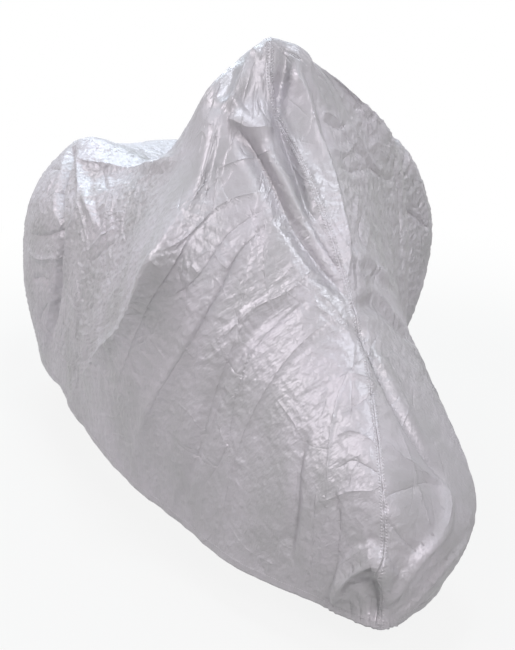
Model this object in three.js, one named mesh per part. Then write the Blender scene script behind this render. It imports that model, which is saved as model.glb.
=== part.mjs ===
// Motorcycle cover: two side panels of coated cloth, hung over a machine and joined by one centre seam.
//
// Millimetres. X points forward, Y to the machine's left and Z up. Each panel is a thin sheet with the
// hung shape of the cloth. The shape is drawn by ribs. A rib is a curve that starts on the centre
// seam and runs down the cloth to the hem. The first rib is the front seam itself and the last
// one is the rear seam, so both panels share those two and the top of every rib between them.

import * as THREE from "three";

// Driving dimensions.
const CLOTH_THICKNESS = 2;
const SEAM_GAP = 0.36; // clear space between the two panels along their seam
const CELLS_BETWEEN_RIBS = [4, 4, 5, 4, 5, 3, 4, 5, 5, 5]; // grid cells from each rib to the next one
const CELLS_BETWEEN_COLUMNS = [4, 7, 6, 5, 4]; // grid cells from each column to the next one
const FOLD_SAMPLES = 24; // samples on each stretch of a fold's path
const FOLD_REACH = 3; // a fold acts as far as this many times its width
const FADE = 0.18; // share of a fold's length over which each end fades out

// Points below are [back, left, up]: back from the front tyre's footprint, left of the machine's
// middle, up from the floor. ORIGIN is the middle of the hem's level, in the same terms.
const ORIGIN = { back: 806.0, left: 40.7, up: 114.8 };

const SILVER = { color: 0xbeb9be, roughness: 0.42, metalness: 0.35 };

const COLUMNS = ["top", "crown", "shoulder", "waist", "knee", "hem"];

// The two ribs that both panels share. They are also the lower ends of the centre seam.
const FRONT_SEAM = {
  crown: [452, 0, 1150], shoulder: [310, 65, 970], waist: [75, 120, 700],
  knee: [-262, 92, 440], hem: [-262, 92, 120],
};
const REAR_SEAM = {
  crown: [1810, 0, 575], shoulder: [1855, 0, 490], waist: [1885, 0, 390],
  knee: [1900, 0, 280], hem: [1890, 0, 140],
};

// One row for each rib: where it leaves the centre seam.
const SEAM_TOPS = [
  { rib: "front seam", top: [495, 5, 1262] },
  { rib: "front wheel", top: [500, 3, 1265] },
  { rib: "fork", top: [512, 5, 1266] },
  { rib: "radiator", top: [528, 8, 1264] },
  { rib: "engine", top: [548, 8, 1258] },
  { rib: "handlebar", top: [575, 5, 1242] },
  { rib: "tank", top: [625, 0, 1205] },
  { rib: "seat", top: [860, 0, 885] },
  { rib: "rack", top: [1200, 0, 735] },
  { rib: "tail", top: [1540, 0, 695] },
  { rib: "rear seam", top: [1740, 0, 625] },
];

const RIGHT_RIBS = [
  FRONT_SEAM,
  { crown: [455, -30, 1160], shoulder: [335, 0, 985], waist: [110, 20, 700],
    knee: [-150, 0, 400], hem: [-100, -30, 122] },
  { crown: [462, -55, 1165], shoulder: [370, -60, 995], waist: [215, -95, 700],
    knee: [95, -120, 390], hem: [120, -166, 115] },
  { crown: [468, -72, 1165], shoulder: [395, -105, 1005], waist: [290, -175, 720],
    knee: [300, -235, 380], hem: [360, -249, 120] },
  { crown: [475, -92, 1160], shoulder: [412, -148, 1000], waist: [330, -240, 780],
    knee: [480, -315, 430], hem: [600, -344, 136] },
  { crown: [490, -112, 1150], shoulder: [400, -190, 970], waist: [352, -297, 820],
    knee: [600, -360, 520], hem: [980, -419, 160] },
  { crown: [540, -128, 1160], shoulder: [580, -190, 990], waist: [690, -305, 760],
    knee: [880, -395, 440], hem: [1110, -430, 172] },
  { crown: [880, -130, 852], shoulder: [1000, -250, 800], waist: [1080, -390, 700],
    knee: [1110, -425, 450], hem: [1230, -443, 158] },
  { crown: [1210, -140, 757], shoulder: [1290, -320, 800], waist: [1350, -450, 630],
    knee: [1370, -482, 380], hem: [1420, -445, 145] },
  { crown: [1560, -130, 695], shoulder: [1600, -260, 660], waist: [1690, -370, 530],
    knee: [1720, -390, 360], hem: [1730, -340, 140] },
  REAR_SEAM,
];

const LEFT_RIBS = [
  FRONT_SEAM,
  { crown: [468, 55, 1185], shoulder: [370, 130, 985], waist: [190, 185, 730],
    knee: [-215, 255, 320], hem: [-215, 185, 128] },
  { crown: [482, 80, 1200], shoulder: [440, 175, 1000], waist: [290, 235, 720],
    knee: [-70, 362, 315], hem: [-90, 285, 130] },
  { crown: [495, 98, 1208], shoulder: [500, 200, 1035], waist: [420, 275, 700],
    knee: [190, 335, 430], hem: [150, 310, 130] },
  { crown: [510, 112, 1205], shoulder: [590, 245, 1035], waist: [600, 335, 730],
    knee: [460, 325, 430], hem: [380, 335, 135] },
  { crown: [535, 130, 1180], shoulder: [690, 345, 965], waist: [722, 402, 760],
    knee: [715, 402, 450], hem: [690, 375, 140] },
  { crown: [640, 120, 1130], shoulder: [790, 310, 930], waist: [850, 370, 720],
    knee: [870, 395, 440], hem: [900, 400, 150] },
  { crown: [900, 180, 870], shoulder: [1000, 440, 845], waist: [1030, 550, 640],
    knee: [1020, 535, 420], hem: [1080, 440, 150] },
  { crown: [1210, 140, 757], shoulder: [1260, 340, 800], waist: [1300, 500, 640],
    knee: [1320, 510, 400], hem: [1380, 445, 145] },
  { crown: [1560, 130, 695], shoulder: [1600, 275, 660], waist: [1680, 385, 530],
    knee: [1710, 405, 360], hem: [1730, 350, 140] },
  REAR_SEAM,
];

// Main folds. A path lists [rib, column] places on the cloth: ribs count from the front seam, positive
// on the right panel and negative on the left one, and columns count from the top down to the
// hem. Height is out of the cloth, or into it where negative, and width is from crest to foot.
const FOLDS = [
  { name: "peak band", height: 13, width: 24, path: [[2.4, 0.25], [3.2, 0.6], [3.3, 0.95], [3.6, 1.35]] },
  { name: "peak trough", height: -10, width: 28, path: [[3.4, 0.35], [4.4, 0.55], [4.9, 0.8], [4.7, 1.1]] },
  { name: "ledge", height: 13, width: 44, path: [[3.65, 1.45], [2.7, 1.5], [1.7, 1.55], [0.6, 1.45]] },
  { name: "ledge hollow", height: -8, width: 46, path: [[2.95, 1.25], [1.65, 1.1], [0.3, 0.95]] },
  { name: "crown pleat", height: -18, width: 30,
    path: [[-1.8, 0.45], [-0.5, 0.95], [0.05, 1.35], [0.45, 1.8], [0.5, 2.2], [0.2, 2.5], [0, 2.7]] },
  { name: "screen tube", height: 20, width: 30,
    path: [[-4.3, 0.45], [-1.2, 1], [-1, 1.25], [-0.7, 1.6], [-0.65, 1.9], [-0.4, 2.35], [0, 2.7]] },
  { name: "tension fold", height: -17, width: 30,
    path: [[3.35, 1.5], [2.05, 1.8], [1.5, 2.1], [1.2, 2.3], [0.6, 2.6], [0.05, 2.8]] },
  { name: "tension ridge", height: 11, width: 30, path: [[1.5, 1.65], [0.95, 2], [0.6, 2.25], [0, 2.6]] },
  { name: "mudguard fold", height: -12, width: 26,
    path: [[0.1, 2.9], [-0.15, 3.1], [-0.45, 3.35], [-0.65, 3.5], [-1.25, 3.75]] },
  { name: "overlap lip", height: 11, width: 28, path: [[-0.3, 2.6], [-1.1, 2.75], [-1.8, 2.9], [-2.6, 3]] },
  { name: "overlap groove", height: -15, width: 30,
    path: [[-0.1, 2.85], [-1.1, 3.05], [-1.8, 3.2], [-2.4, 3.3]] },
  { name: "front arc", height: 10, width: 30,
    path: [[-1.2, 3.75], [-0.95, 3.95], [-0.6, 4.25], [-0.2, 4.75]] },
  { name: "hem puff", height: 11, width: 24,
    path: [[0.65, 4.95], [0.7, 4.7], [0.5, 4.45], [0, 4.4], [-0.3, 4.8]] },
  { name: "nose fold", height: -10, width: 26, path: [[1.35, 3.6], [1.45, 3.9], [1.45, 4.3], [1.4, 4.7]] },
  { name: "side trough", height: -10, width: 32,
    path: [[1.1, 2.8], [2, 3.1], [2.6, 3.55], [2.8, 4], [3, 4.8]] },
  { name: "side ridge", height: 8, width: 32,
    path: [[1.85, 2.4], [3.1, 2.85], [3.3, 3.3], [3.7, 4], [3.9, 4.6]] },
  { name: "flank ridge", height: 12, width: 34, path: [[5, 2.9], [4.95, 3.4], [4.9, 3.85], [5.2, 4.4]] },
  { name: "seat edge", height: 13, width: 32,
    path: [[7.7, 2.3], [7.2, 2.1], [6.8, 2.05], [6.3, 2.2], [6, 2.1]] },
  { name: "pannier crease", height: -17, width: 28,
    path: [[8.1, 2.2], [7.7, 2.5], [7.35, 2.95], [7.05, 3.4], [7.1, 4.1], [7.3, 4.8]] },
  { name: "left pannier crease", height: -12, width: 32,
    path: [[-7.5, 2.3], [-7.4, 3], [-7.3, 3.9], [-7.4, 4.8]] },
  { name: "tail crease", height: -10, width: 34, path: [[9.1, 1.2], [9, 2.4], [8.8, 3.6], [8.9, 4.8]] },
  { name: "left tail crease", height: -10, width: 34,
    path: [[-9, 1.3], [-9.1, 2.5], [-9.2, 3.7], [-9, 4.8]] },
];

const toPoint = ([back, left, up]) => new THREE.Vector3(
  ORIGIN.back - back,
  left - ORIGIN.left,
  up - ORIGIN.up,
);

function ribPoints(ribs) {
  return ribs.map((rib, row) => {
    const places = { top: SEAM_TOPS[row].top, ...rib };
    return COLUMNS.map((column) => toPoint(places[column]));
  });
}

// Rib points with one more row and column on every side. Past a seam the other panel goes on, and
// past the hem the rib keeps its direction.
function extendedLattice(own, other) {
  const withNeighbours = (panel, across) => panel.map((rib, row) => {
    const last = rib.length - 1;
    const pastHem = rib[last].clone().multiplyScalar(2).sub(rib[last - 1]);
    return [across[row][1], ...rib, pastHem];
  });
  const ownRows = withNeighbours(own, other);
  const otherRows = withNeighbours(other, own);
  return [otherRows[1], ...ownRows, otherRows[otherRows.length - 2]];
}

// Tangent at the middle of three points. The nearer neighbour counts for more, so curves never
// swing out beyond unevenly spaced points.
function tangent(before, here, after) {
  const back = here.clone().sub(before);
  const ahead = after.clone().sub(here);
  const backLength = back.length() + 1e-6;
  const aheadLength = ahead.length() + 1e-6;
  back.multiplyScalar(aheadLength);
  ahead.multiplyScalar(backLength);
  return back.add(ahead).divideScalar(backLength + aheadLength);
}

// Cubic Hermite curve from the second of four points to the third, at share t.
function smoothBetween([p0, p1, p2, p3], t) {
  const startTangent = tangent(p0, p1, p2);
  const endTangent = tangent(p1, p2, p3);
  const t2 = t * t;
  const t3 = t2 * t;
  return new THREE.Vector3()
    .addScaledVector(p1, 2 * t3 - 3 * t2 + 1)
    .addScaledVector(startTangent, t3 - 2 * t2 + t)
    .addScaledVector(p2, 3 * t2 - 2 * t3)
    .addScaledVector(endTangent, t3 - t2);
}

// Point of the smooth cloth at a rib number and a column number, both with fractions.
function clothPoint(lattice, rib, column) {
  const ribCell = Math.min(Math.floor(rib), lattice.length - 4);
  const columnCell = Math.min(Math.floor(column), COLUMNS.length - 2);
  const acrossRibs = [0, 1, 2, 3].map((step) => {
    const row = lattice[ribCell + step];
    return smoothBetween(row.slice(columnCell, columnCell + 4), column - columnCell);
  });
  return smoothBetween(acrossRibs, rib - ribCell);
}

// Rib or column numbers of the grid lines, with fractions. The lines are closer where the cloth has
// more small folds.
function gridLines(cellsBetween) {
  const lines = cellsBetween.flatMap((cells, stretch) => {
    return Array.from({ length: cells }, (_, step) => stretch + step / cells);
  });
  return [...lines, cellsBetween.length];
}

const RIB_LINES = gridLines(CELLS_BETWEEN_RIBS);
const COLUMN_LINES = gridLines(CELLS_BETWEEN_COLUMNS);
const CELLS_AROUND = RIB_LINES.length - 1; // grid cells from the front seam to the rear seam
const CELLS_DOWN = COLUMN_LINES.length - 1; // grid cells from the centre seam to the hem

function clothGrid(lattice) {
  return RIB_LINES.map((rib) => COLUMN_LINES.map((column) => clothPoint(lattice, rib, column)));
}

// Sum of the normals of the cells around each grid point, pointing out of the cover.
function summedNormals(grid, outward) {
  const sums = grid.map((row) => row.map(() => new THREE.Vector3()));
  for (let i = 0; i < CELLS_AROUND; i++) {
    for (let j = 0; j < CELLS_DOWN; j++) {
      const corners = [[i, j], [i + 1, j], [i + 1, j + 1], [i, j + 1]];
      const [a, b, c, d] = corners.map(([row, column]) => grid[row][column]);
      const normal = c.clone().sub(a).cross(d.clone().sub(b)).multiplyScalar(outward);
      corners.forEach(([row, column]) => sums[row][column].add(normal));
    }
  }
  return sums;
}

const isOnSeam = (i, j) => i === 0 || i === CELLS_AROUND || j === 0;

// Unit normals of both panels. Along the seam both panels get the same one.
function clothNormals(rightGrid, leftGrid) {
  const right = summedNormals(rightGrid, 1);
  const left = summedNormals(leftGrid, -1);
  for (let i = 0; i <= CELLS_AROUND; i++) {
    for (let j = 0; j <= CELLS_DOWN; j++) {
      if (isOnSeam(i, j)) {
        right[i][j].add(left[i][j]);
        left[i][j].copy(right[i][j]);
      }
      right[i][j].normalize();
      left[i][j].normalize();
    }
  }
  return { right, left };
}

// Points along a fold's path, each with how strong the fold is there.
function foldTrail(fold, lattices) {
  const trail = [];
  const stretches = fold.path.length - 1;
  const steps = stretches * FOLD_SAMPLES;
  for (let step = 0; step <= steps; step++) {
    const share = step / steps;
    const stretch = Math.min(Math.floor(share * stretches), stretches - 1);
    const within = share * stretches - stretch;
    const [from, to] = [fold.path[stretch], fold.path[stretch + 1]];
    const rib = THREE.MathUtils.lerp(from[0], to[0], within);
    const column = THREE.MathUtils.lerp(from[1], to[1], within);
    const lattice = rib >= 0 ? lattices.right : lattices.left;
    const strength = THREE.MathUtils.smoothstep(Math.min(share, 1 - share), -0.04, FADE);
    trail.push({ point: clothPoint(lattice, Math.abs(rib), column), strength });
  }
  return trail;
}

// Height of all folds at a point of the smooth cloth: each is a bell curve across its path.
function foldHeight(point, folds) {
  let height = 0;
  for (const fold of folds) {
    let nearest = { distance: Infinity, strength: 0 };
    for (const { point: onPath, strength } of fold.trail) {
      const distance = point.distanceTo(onPath);
      if (distance < nearest.distance) nearest = { distance, strength };
    }
    if (nearest.distance < FOLD_REACH * fold.width) {
      const across = nearest.distance / fold.width;
      height += fold.height * nearest.strength * Math.exp(-2 * across * across);
    }
  }
  return height;
}

function foldedGrid(grid, normals, folds) {
  return grid.map((row, i) => row.map((point, j) => {
    return point.clone().addScaledVector(normals[i][j], foldHeight(point, folds));
  }));
}

// Grid places along the whole seam: up the front, back along the top and down the rear.
function seamPlaces() {
  const places = [];
  for (let j = CELLS_DOWN; j > 0; j--) places.push([0, j]);
  for (let i = 0; i < CELLS_AROUND; i++) places.push([i, 0]);
  for (let j = 0; j <= CELLS_DOWN; j++) places.push([CELLS_AROUND, j]);
  return places;
}

// Moves a panel's seam edge into its own side by half the gap, square to the seam.
function withSeamGap(grid, normals, side) {
  const gapped = grid.map((row) => row.map((point) => point.clone()));
  const places = seamPlaces();
  places.forEach(([i, j], k) => {
    const [beforeI, beforeJ] = places[Math.max(k - 1, 0)];
    const [afterI, afterJ] = places[Math.min(k + 1, places.length - 1)];
    const along = grid[afterI][afterJ].clone().sub(grid[beforeI][beforeJ]).normalize();
    const intoPanel = normals[i][j].clone().cross(along).normalize().multiplyScalar(side);
    gapped[i][j].addScaledVector(intoPanel, SEAM_GAP / 2);
  });
  return gapped;
}

// Closed sheet: the outer face, the inner face one thickness below it, and the cut edges.
function sheetGeometry(grid, normals, outward) {
  const columns = CELLS_DOWN + 1;
  const outerCount = (CELLS_AROUND + 1) * columns;
  const positions = [];
  for (const depth of [0, CLOTH_THICKNESS]) {
    grid.forEach((row, i) => row.forEach((point, j) => {
      positions.push(...point.clone().addScaledVector(normals[i][j], -depth).toArray());
    }));
  }
  const triangles = [];
  const addFour = (a, b, c, d) => {
    if (outward > 0) triangles.push(a, b, c, a, c, d);
    else triangles.push(a, c, b, a, d, c);
  };
  const outer = (i, j) => i * columns + j;
  const inner = (i, j) => outerCount + outer(i, j);
  for (let i = 0; i < CELLS_AROUND; i++) {
    for (let j = 0; j < CELLS_DOWN; j++) {
      addFour(outer(i, j), outer(i + 1, j), outer(i + 1, j + 1), outer(i, j + 1));
      addFour(inner(i, j), inner(i, j + 1), inner(i + 1, j + 1), inner(i + 1, j));
    }
  }
  for (let i = 0; i < CELLS_AROUND; i++) {
    addFour(outer(i + 1, 0), outer(i, 0), inner(i, 0), inner(i + 1, 0));
    addFour(outer(i, CELLS_DOWN), outer(i + 1, CELLS_DOWN), inner(i + 1, CELLS_DOWN), inner(i, CELLS_DOWN));
  }
  for (let j = 0; j < CELLS_DOWN; j++) {
    addFour(outer(0, j), outer(0, j + 1), inner(0, j + 1), inner(0, j));
    addFour(
      outer(CELLS_AROUND, j + 1), outer(CELLS_AROUND, j),
      inner(CELLS_AROUND, j), inner(CELLS_AROUND, j + 1),
    );
  }
  const geometry = new THREE.BufferGeometry();
  geometry.setAttribute("position", new THREE.Float32BufferAttribute(positions, 3));
  geometry.setIndex(triangles);
  geometry.computeVertexNormals();
  return geometry;
}

function panel(name, grid, normals, side) {
  const geometry = sheetGeometry(withSeamGap(grid, normals, side), normals, side);
  const mesh = new THREE.Mesh(geometry, new THREE.MeshStandardMaterial(SILVER));
  mesh.name = name;
  return mesh;
}

function motorcycleCover() {
  const right = ribPoints(RIGHT_RIBS);
  const left = ribPoints(LEFT_RIBS);
  const lattices = { right: extendedLattice(right, left), left: extendedLattice(left, right) };
  const folds = FOLDS.map((fold) => ({ ...fold, trail: foldTrail(fold, lattices) }));

  const smoothRight = clothGrid(lattices.right);
  const smoothLeft = clothGrid(lattices.left);
  const smoothNormals = clothNormals(smoothRight, smoothLeft);
  const rightGrid = foldedGrid(smoothRight, smoothNormals.right, folds);
  const leftGrid = foldedGrid(smoothLeft, smoothNormals.left, folds);
  const normals = clothNormals(rightGrid, leftGrid);

  const cover = new THREE.Group();
  cover.add(panel("panel_right", rightGrid, normals.right, 1));
  cover.add(panel("panel_left", leftGrid, normals.left, -1));
  return cover;
}

export default motorcycleCover();
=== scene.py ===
# %% [markdown]
# # A silver motorcycle cover
#
# The real cover is cut from thin polyester with a silver coating. It has two side panels, and one
# long centre seam joins them up the front, over the screen and the seat and down the tail. A
# narrow hem with elastic in it draws the lower edge in under the wheels. The machine inside is
# left out, so the cover is a hollow skin that keeps the shape it hangs in.
#
# The frame is loaded first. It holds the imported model, and its box is the size that the cloth
# made here has to keep.

# %% Load the frame
import bpy
import numpy as np
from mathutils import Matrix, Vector


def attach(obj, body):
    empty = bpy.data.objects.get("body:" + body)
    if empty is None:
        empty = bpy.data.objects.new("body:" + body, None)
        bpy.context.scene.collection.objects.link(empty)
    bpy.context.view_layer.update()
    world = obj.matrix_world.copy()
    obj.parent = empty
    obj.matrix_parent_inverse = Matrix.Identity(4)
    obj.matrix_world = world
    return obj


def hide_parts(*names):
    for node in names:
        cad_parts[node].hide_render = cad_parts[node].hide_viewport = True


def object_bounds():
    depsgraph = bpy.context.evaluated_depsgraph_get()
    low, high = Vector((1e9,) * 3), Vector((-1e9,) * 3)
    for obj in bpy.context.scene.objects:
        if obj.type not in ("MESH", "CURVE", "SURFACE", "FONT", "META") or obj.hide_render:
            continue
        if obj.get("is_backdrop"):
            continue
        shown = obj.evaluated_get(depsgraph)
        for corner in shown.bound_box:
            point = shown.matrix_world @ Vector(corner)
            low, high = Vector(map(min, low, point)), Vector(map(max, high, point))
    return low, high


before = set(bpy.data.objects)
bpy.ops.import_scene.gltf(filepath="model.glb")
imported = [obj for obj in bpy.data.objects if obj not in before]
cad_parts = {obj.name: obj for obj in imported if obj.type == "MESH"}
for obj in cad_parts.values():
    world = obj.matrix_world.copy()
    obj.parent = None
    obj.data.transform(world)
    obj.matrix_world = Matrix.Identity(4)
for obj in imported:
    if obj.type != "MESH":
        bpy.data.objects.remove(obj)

MM = 0.001
cad_low, cad_high = (np.array(corner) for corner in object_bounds())
middle = (cad_low + cad_high) / 2
print("CAD box in metres", (cad_high - cad_low).round(3))

# %% [markdown]
# ## Camera
#
# The cover is seen from ahead and a little to its right, and from above. The camera stands on a
# circle around the cover, so its place is worked out from two angles and a distance. The long
# lens keeps the near wheel from looking too big.

# %% Camera
CAMERA_TURN = -12.0     # degrees from straight ahead, towards the machine's right where negative
CAMERA_RISE = 22.0      # degrees above level
CAMERA_DISTANCE = 6.5
CAMERA_LENS = 142.9     # mm
CAMERA_AIM = middle + np.array([0.069, -0.016, -0.229])


def direction(turn, rise):
    """Unit vector at an angle round Z from +X and an angle above level, both in degrees."""
    a, e = np.radians([turn, rise])
    return np.array([np.cos(a) * np.cos(e), np.sin(a) * np.cos(e), np.sin(e)])


def aimed(thing, place, target):
    """Puts a camera or lamp at a place, with its -Z axis on the target and its Y axis up."""
    thing.location = place
    thing.rotation_euler = Vector(np.asarray(target) - place).to_track_quat("-Z", "Y").to_euler()


camera_data = bpy.data.cameras.new("camera")
camera_data.lens = CAMERA_LENS
camera = bpy.data.objects.new("camera", camera_data)
bpy.context.collection.objects.link(camera)
aimed(camera, CAMERA_AIM + CAMERA_DISTANCE * direction(CAMERA_TURN, CAMERA_RISE), CAMERA_AIM)
bpy.context.scene.camera = camera
print("camera at", np.round(camera.location, 3))

# %% [markdown]
# ## The shape of the hung cloth
#
# A cloth that hangs over a machine could be simulated, but the machine isn't here, and the shape
# that its bars and luggage give the cloth is known. So the shape is drawn with ribs instead. A rib
# is a curve that starts on the centre seam and runs down the cloth to the hem, and eleven ribs
# on each side follow the machine from the front wheel to the tail.

# %% Ribs
# Places are (back, left, up) in millimetres: back from the front tyre's footprint, left of the
# machine's middle, up from the floor. ORIGIN is the middle of the hem's level in the same terms.
ORIGIN = (806.0, 40.7, 114.8)

# One row for each rib: where it leaves the centre seam.
SEAM_TOPS = [
    ("front seam", (495, 5, 1262)),
    ("front wheel", (500, 3, 1265)),
    ("fork", (512, 5, 1266)),
    ("radiator", (528, 8, 1264)),
    ("engine", (548, 8, 1258)),
    ("handlebar", (575, 5, 1242)),
    ("tank", (625, 0, 1205)),
    ("seat", (860, 0, 885)),
    ("rack", (1200, 0, 735)),
    ("tail", (1540, 0, 695)),
    ("rear seam", (1740, 0, 625)),
]

# Columns below:  crown             shoulder          waist             knee              hem
FRONT_SEAM = ((452, 0, 1150), (310, 65, 970), (75, 120, 700), (-262, 92, 440), (-262, 92, 120))
REAR_SEAM = ((1810, 0, 575), (1855, 0, 490), (1885, 0, 390), (1900, 0, 280), (1890, 0, 140))

RIGHT_RIBS = [
    FRONT_SEAM,
    ((455, -30, 1160), (335, 0, 985), (110, 20, 700), (-150, 0, 400), (-100, -30, 122)),
    ((462, -55, 1165), (370, -60, 995), (215, -95, 700), (95, -120, 390), (120, -166, 115)),
    ((468, -72, 1165), (395, -105, 1005), (290, -175, 720), (300, -235, 380), (360, -249, 120)),
    ((475, -92, 1160), (412, -148, 1000), (330, -240, 780), (480, -315, 430), (600, -344, 136)),
    ((490, -112, 1150), (400, -190, 970), (352, -297, 820), (600, -360, 520), (980, -419, 160)),
    ((540, -128, 1160), (580, -190, 990), (690, -305, 760), (880, -395, 440), (1110, -430, 172)),
    ((880, -130, 852), (1000, -250, 800), (1080, -390, 700), (1110, -425, 450), (1230, -443, 158)),
    ((1210, -140, 757), (1290, -320, 800), (1350, -450, 630), (1370, -482, 380), (1420, -445, 145)),
    ((1560, -130, 695), (1600, -260, 660), (1690, -370, 530), (1720, -390, 360), (1730, -340, 140)),
    REAR_SEAM,
]

LEFT_RIBS = [
    FRONT_SEAM,
    ((468, 55, 1185), (370, 130, 985), (190, 185, 730), (-215, 255, 320), (-215, 185, 128)),
    ((482, 80, 1200), (440, 175, 1000), (290, 235, 720), (-70, 362, 315), (-90, 285, 130)),
    ((495, 98, 1208), (500, 200, 1035), (420, 275, 700), (190, 335, 430), (150, 310, 130)),
    ((510, 112, 1205), (590, 245, 1035), (600, 335, 730), (460, 325, 430), (380, 335, 135)),
    ((535, 130, 1180), (690, 345, 965), (722, 402, 760), (715, 402, 450), (690, 375, 140)),
    ((640, 120, 1130), (790, 310, 930), (850, 370, 720), (870, 395, 440), (900, 400, 150)),
    ((900, 180, 870), (1000, 440, 845), (1030, 550, 640), (1020, 535, 420), (1080, 440, 150)),
    ((1210, 140, 757), (1260, 340, 800), (1300, 500, 640), (1320, 510, 400), (1380, 445, 145)),
    ((1560, 130, 695), (1600, 275, 660), (1680, 385, 530), (1710, 405, 360), (1730, 350, 140)),
    REAR_SEAM,
]


def to_frame(places):
    """Places (back, left, up) in millimetres as metres in the row frame.
    X = origin's back - back, Y = left - origin's left, Z = up - origin's up."""
    offset = np.asarray(places, float) - ORIGIN
    return offset * (-MM, MM, MM)


def panel_ribs(ribs):
    """A panel's ribs in metres: the point on the centre seam, then the five columns."""
    tops = [[top] for _, top in SEAM_TOPS]
    return to_frame(np.concatenate([tops, ribs], axis=1))


rib_points = {"right": panel_ribs(RIGHT_RIBS), "left": panel_ribs(LEFT_RIBS)}
LAST_RIB = len(SEAM_TOPS) - 1
LAST_COLUMN = rib_points["right"].shape[1] - 1
print("ribs and columns", LAST_RIB + 1, LAST_COLUMN + 1)

# %% [markdown]
# ## From ribs to a smooth skin
#
# A smooth skin through the ribs could be a subdivision surface, but that shrinks away from its
# points. Here cubic curves pass through every point, first down the ribs and then across them,
# as the frame's own cloth does. A point of the skin is then a function of two numbers: how many
# ribs along, and how many columns down.

# %% Smooth skin
def lattice(own, other):
    """Rib points with one more row and column on every side. Past a seam the other panel goes on,
    and past the hem each rib keeps its direction."""
    def with_neighbours(panel, across):
        past_hem = 2 * panel[:, -1:] - panel[:, -2:-1]
        return np.concatenate([across[:, 1:2], panel, past_hem], axis=1)
    own_rows, other_rows = with_neighbours(own, other), with_neighbours(other, own)
    return np.concatenate([other_rows[1:2], own_rows, other_rows[-2:-1]])


def tangent(before, here, after):
    """Mean of the two steps at the middle point, where the shorter step counts for more."""
    back, ahead = here - before, after - here
    back_length = np.linalg.norm(back, axis=-1, keepdims=True) + 1e-9
    ahead_length = np.linalg.norm(ahead, axis=-1, keepdims=True) + 1e-9
    return (back * ahead_length + ahead * back_length) / (back_length + ahead_length)


def smooth_between(p0, p1, p2, p3, share):
    """Cubic Hermite curve from p1 (share 0) to p2 (share 1), with the tangents above."""
    t = share[..., None]
    start, end = tangent(p0, p1, p2), tangent(p1, p2, p3)
    return ((2 * t**3 - 3 * t**2 + 1) * p1 + (t**3 - 2 * t**2 + t) * start
            + (3 * t**2 - 2 * t**3) * p2 + (t**3 - t**2) * end)


lattices = {
    "right": lattice(rib_points["right"], rib_points["left"]),
    "left": lattice(rib_points["left"], rib_points["right"]),
}


def skin(side, ribs, columns):
    """Point of the smooth skin: curves down four neighbouring ribs, joined by one across them."""
    ribs, columns = np.broadcast_arrays(ribs, columns)
    net = lattices[side]
    i = np.clip(ribs.astype(int), 0, LAST_RIB - 1)
    j = np.clip(columns.astype(int), 0, LAST_COLUMN - 1)
    down = [smooth_between(*(net[i + step, j + k] for k in range(4)), columns - j) for step in range(4)]
    return smooth_between(*down, ribs - i)


print("peak of the skin", skin("right", np.array(2.0), np.array(0.0)).round(3))

# %% [markdown]
# ## Grid
#
# Each panel becomes a grid of small four-sided cells. Creases need cells of about 5 mm, and the
# seam and the hem need finer ones. The grid lines are spread by distance along the cloth, and a
# density makes them closer near the seams, the hem and the front, where the cloth is creased
# most. Both panels use the same lines, so their seam edges meet point for point. The numbers of
# cells divide by two and by three, because two coarser grids are picked from them later.

# %% Grid lines
CELLS_AROUND = 432
CELLS_DOWN = 198
REAR_OF_DETAIL = 7.8    # rib behind which the lines need not be as close


def steps_along(points, axis):
    """Distance from the grid's first line to each point, measured along one axis."""
    steps = np.linalg.norm(np.diff(points, axis=axis), axis=-1)
    zero = np.zeros_like(np.take(steps, [0], axis=axis))
    return np.concatenate([zero, np.cumsum(steps, axis=axis)], axis=axis)


def spread(values, distance, count, density):
    """count + 1 of the values, spaced so that equal shares of distance times density lie between."""
    total = np.concatenate([[0], np.cumsum(np.diff(distance) * (density[1:] + density[:-1]) / 2)])
    return np.interp(np.linspace(0, total[-1], count + 1), total, values)


def near(distance, reach):
    """1 at no distance, and less further off: exp(-distance / reach)."""
    return np.exp(-distance / reach)


# The distances are measured on a skin much finer than the ribs. The density is then half as high
# again at the front, and rises at the seams and the hem over 20 to 30 mm.
fine_ribs, fine_columns = np.linspace(0, LAST_RIB, 501), np.linspace(0, LAST_COLUMN, 251)
fine = np.stack([skin(side, fine_ribs[:, None], fine_columns[None]) for side in ("right", "left")])
around = steps_along(fine, 1).mean(axis=(0, 2))
down = steps_along(fine, 2).mean(axis=(0, 1))
front_detail = 1 + 0.5 / (1 + np.exp((fine_ribs - REAR_OF_DETAIL) * 4))
around_density = front_detail + 1.4 * near(around, 0.02) + near(around[-1] - around, 0.02)
down_density = 1 + 0.8 * near(down, 0.02) + 0.8 * near(down[-1] - down, 0.03)
rib_lines = spread(fine_ribs, around, CELLS_AROUND, around_density)
column_lines = spread(fine_columns, down, CELLS_DOWN, down_density)
print("mean way round and down in metres", around[-1].round(3), down[-1].round(3))

# %% Smooth grids and their normals
SIDES = {"right": 1, "left": -1}


def cell_normals(points, outward):
    """Cross product of the steps along the grid's two ways at each point. It points out of the
    cover, and its length is the area of a cell."""
    return outward * np.cross(np.gradient(points, axis=0), np.gradient(points, axis=1))


def unit(vectors):
    """Vectors of length 1 in the same directions."""
    return vectors / (np.linalg.norm(vectors, axis=-1, keepdims=True) + 1e-12)


def shared_normals(grids):
    """Unit normals of both grids. Along the seam both take the mean of the two."""
    normals = {side: unit(cell_normals(grids[side], outward)) for side, outward in SIDES.items()}
    for edge in ((0, slice(None)), (-1, slice(None)), (slice(None), 0)):
        mean = unit(normals["right"][edge] + normals["left"][edge])
        normals["right"][edge] = normals["left"][edge] = mean
    return normals


smooth = {side: skin(side, rib_lines[:, None], column_lines[None]) for side in SIDES}
smooth_normals = shared_normals(smooth)
for side in SIDES:
    steps = np.linalg.norm(np.diff(smooth[side], axis=0), axis=-1) / MM
    print(side, "cells around, least and mean, mm", steps.min().round(2), steps.mean().round(2))

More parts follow.
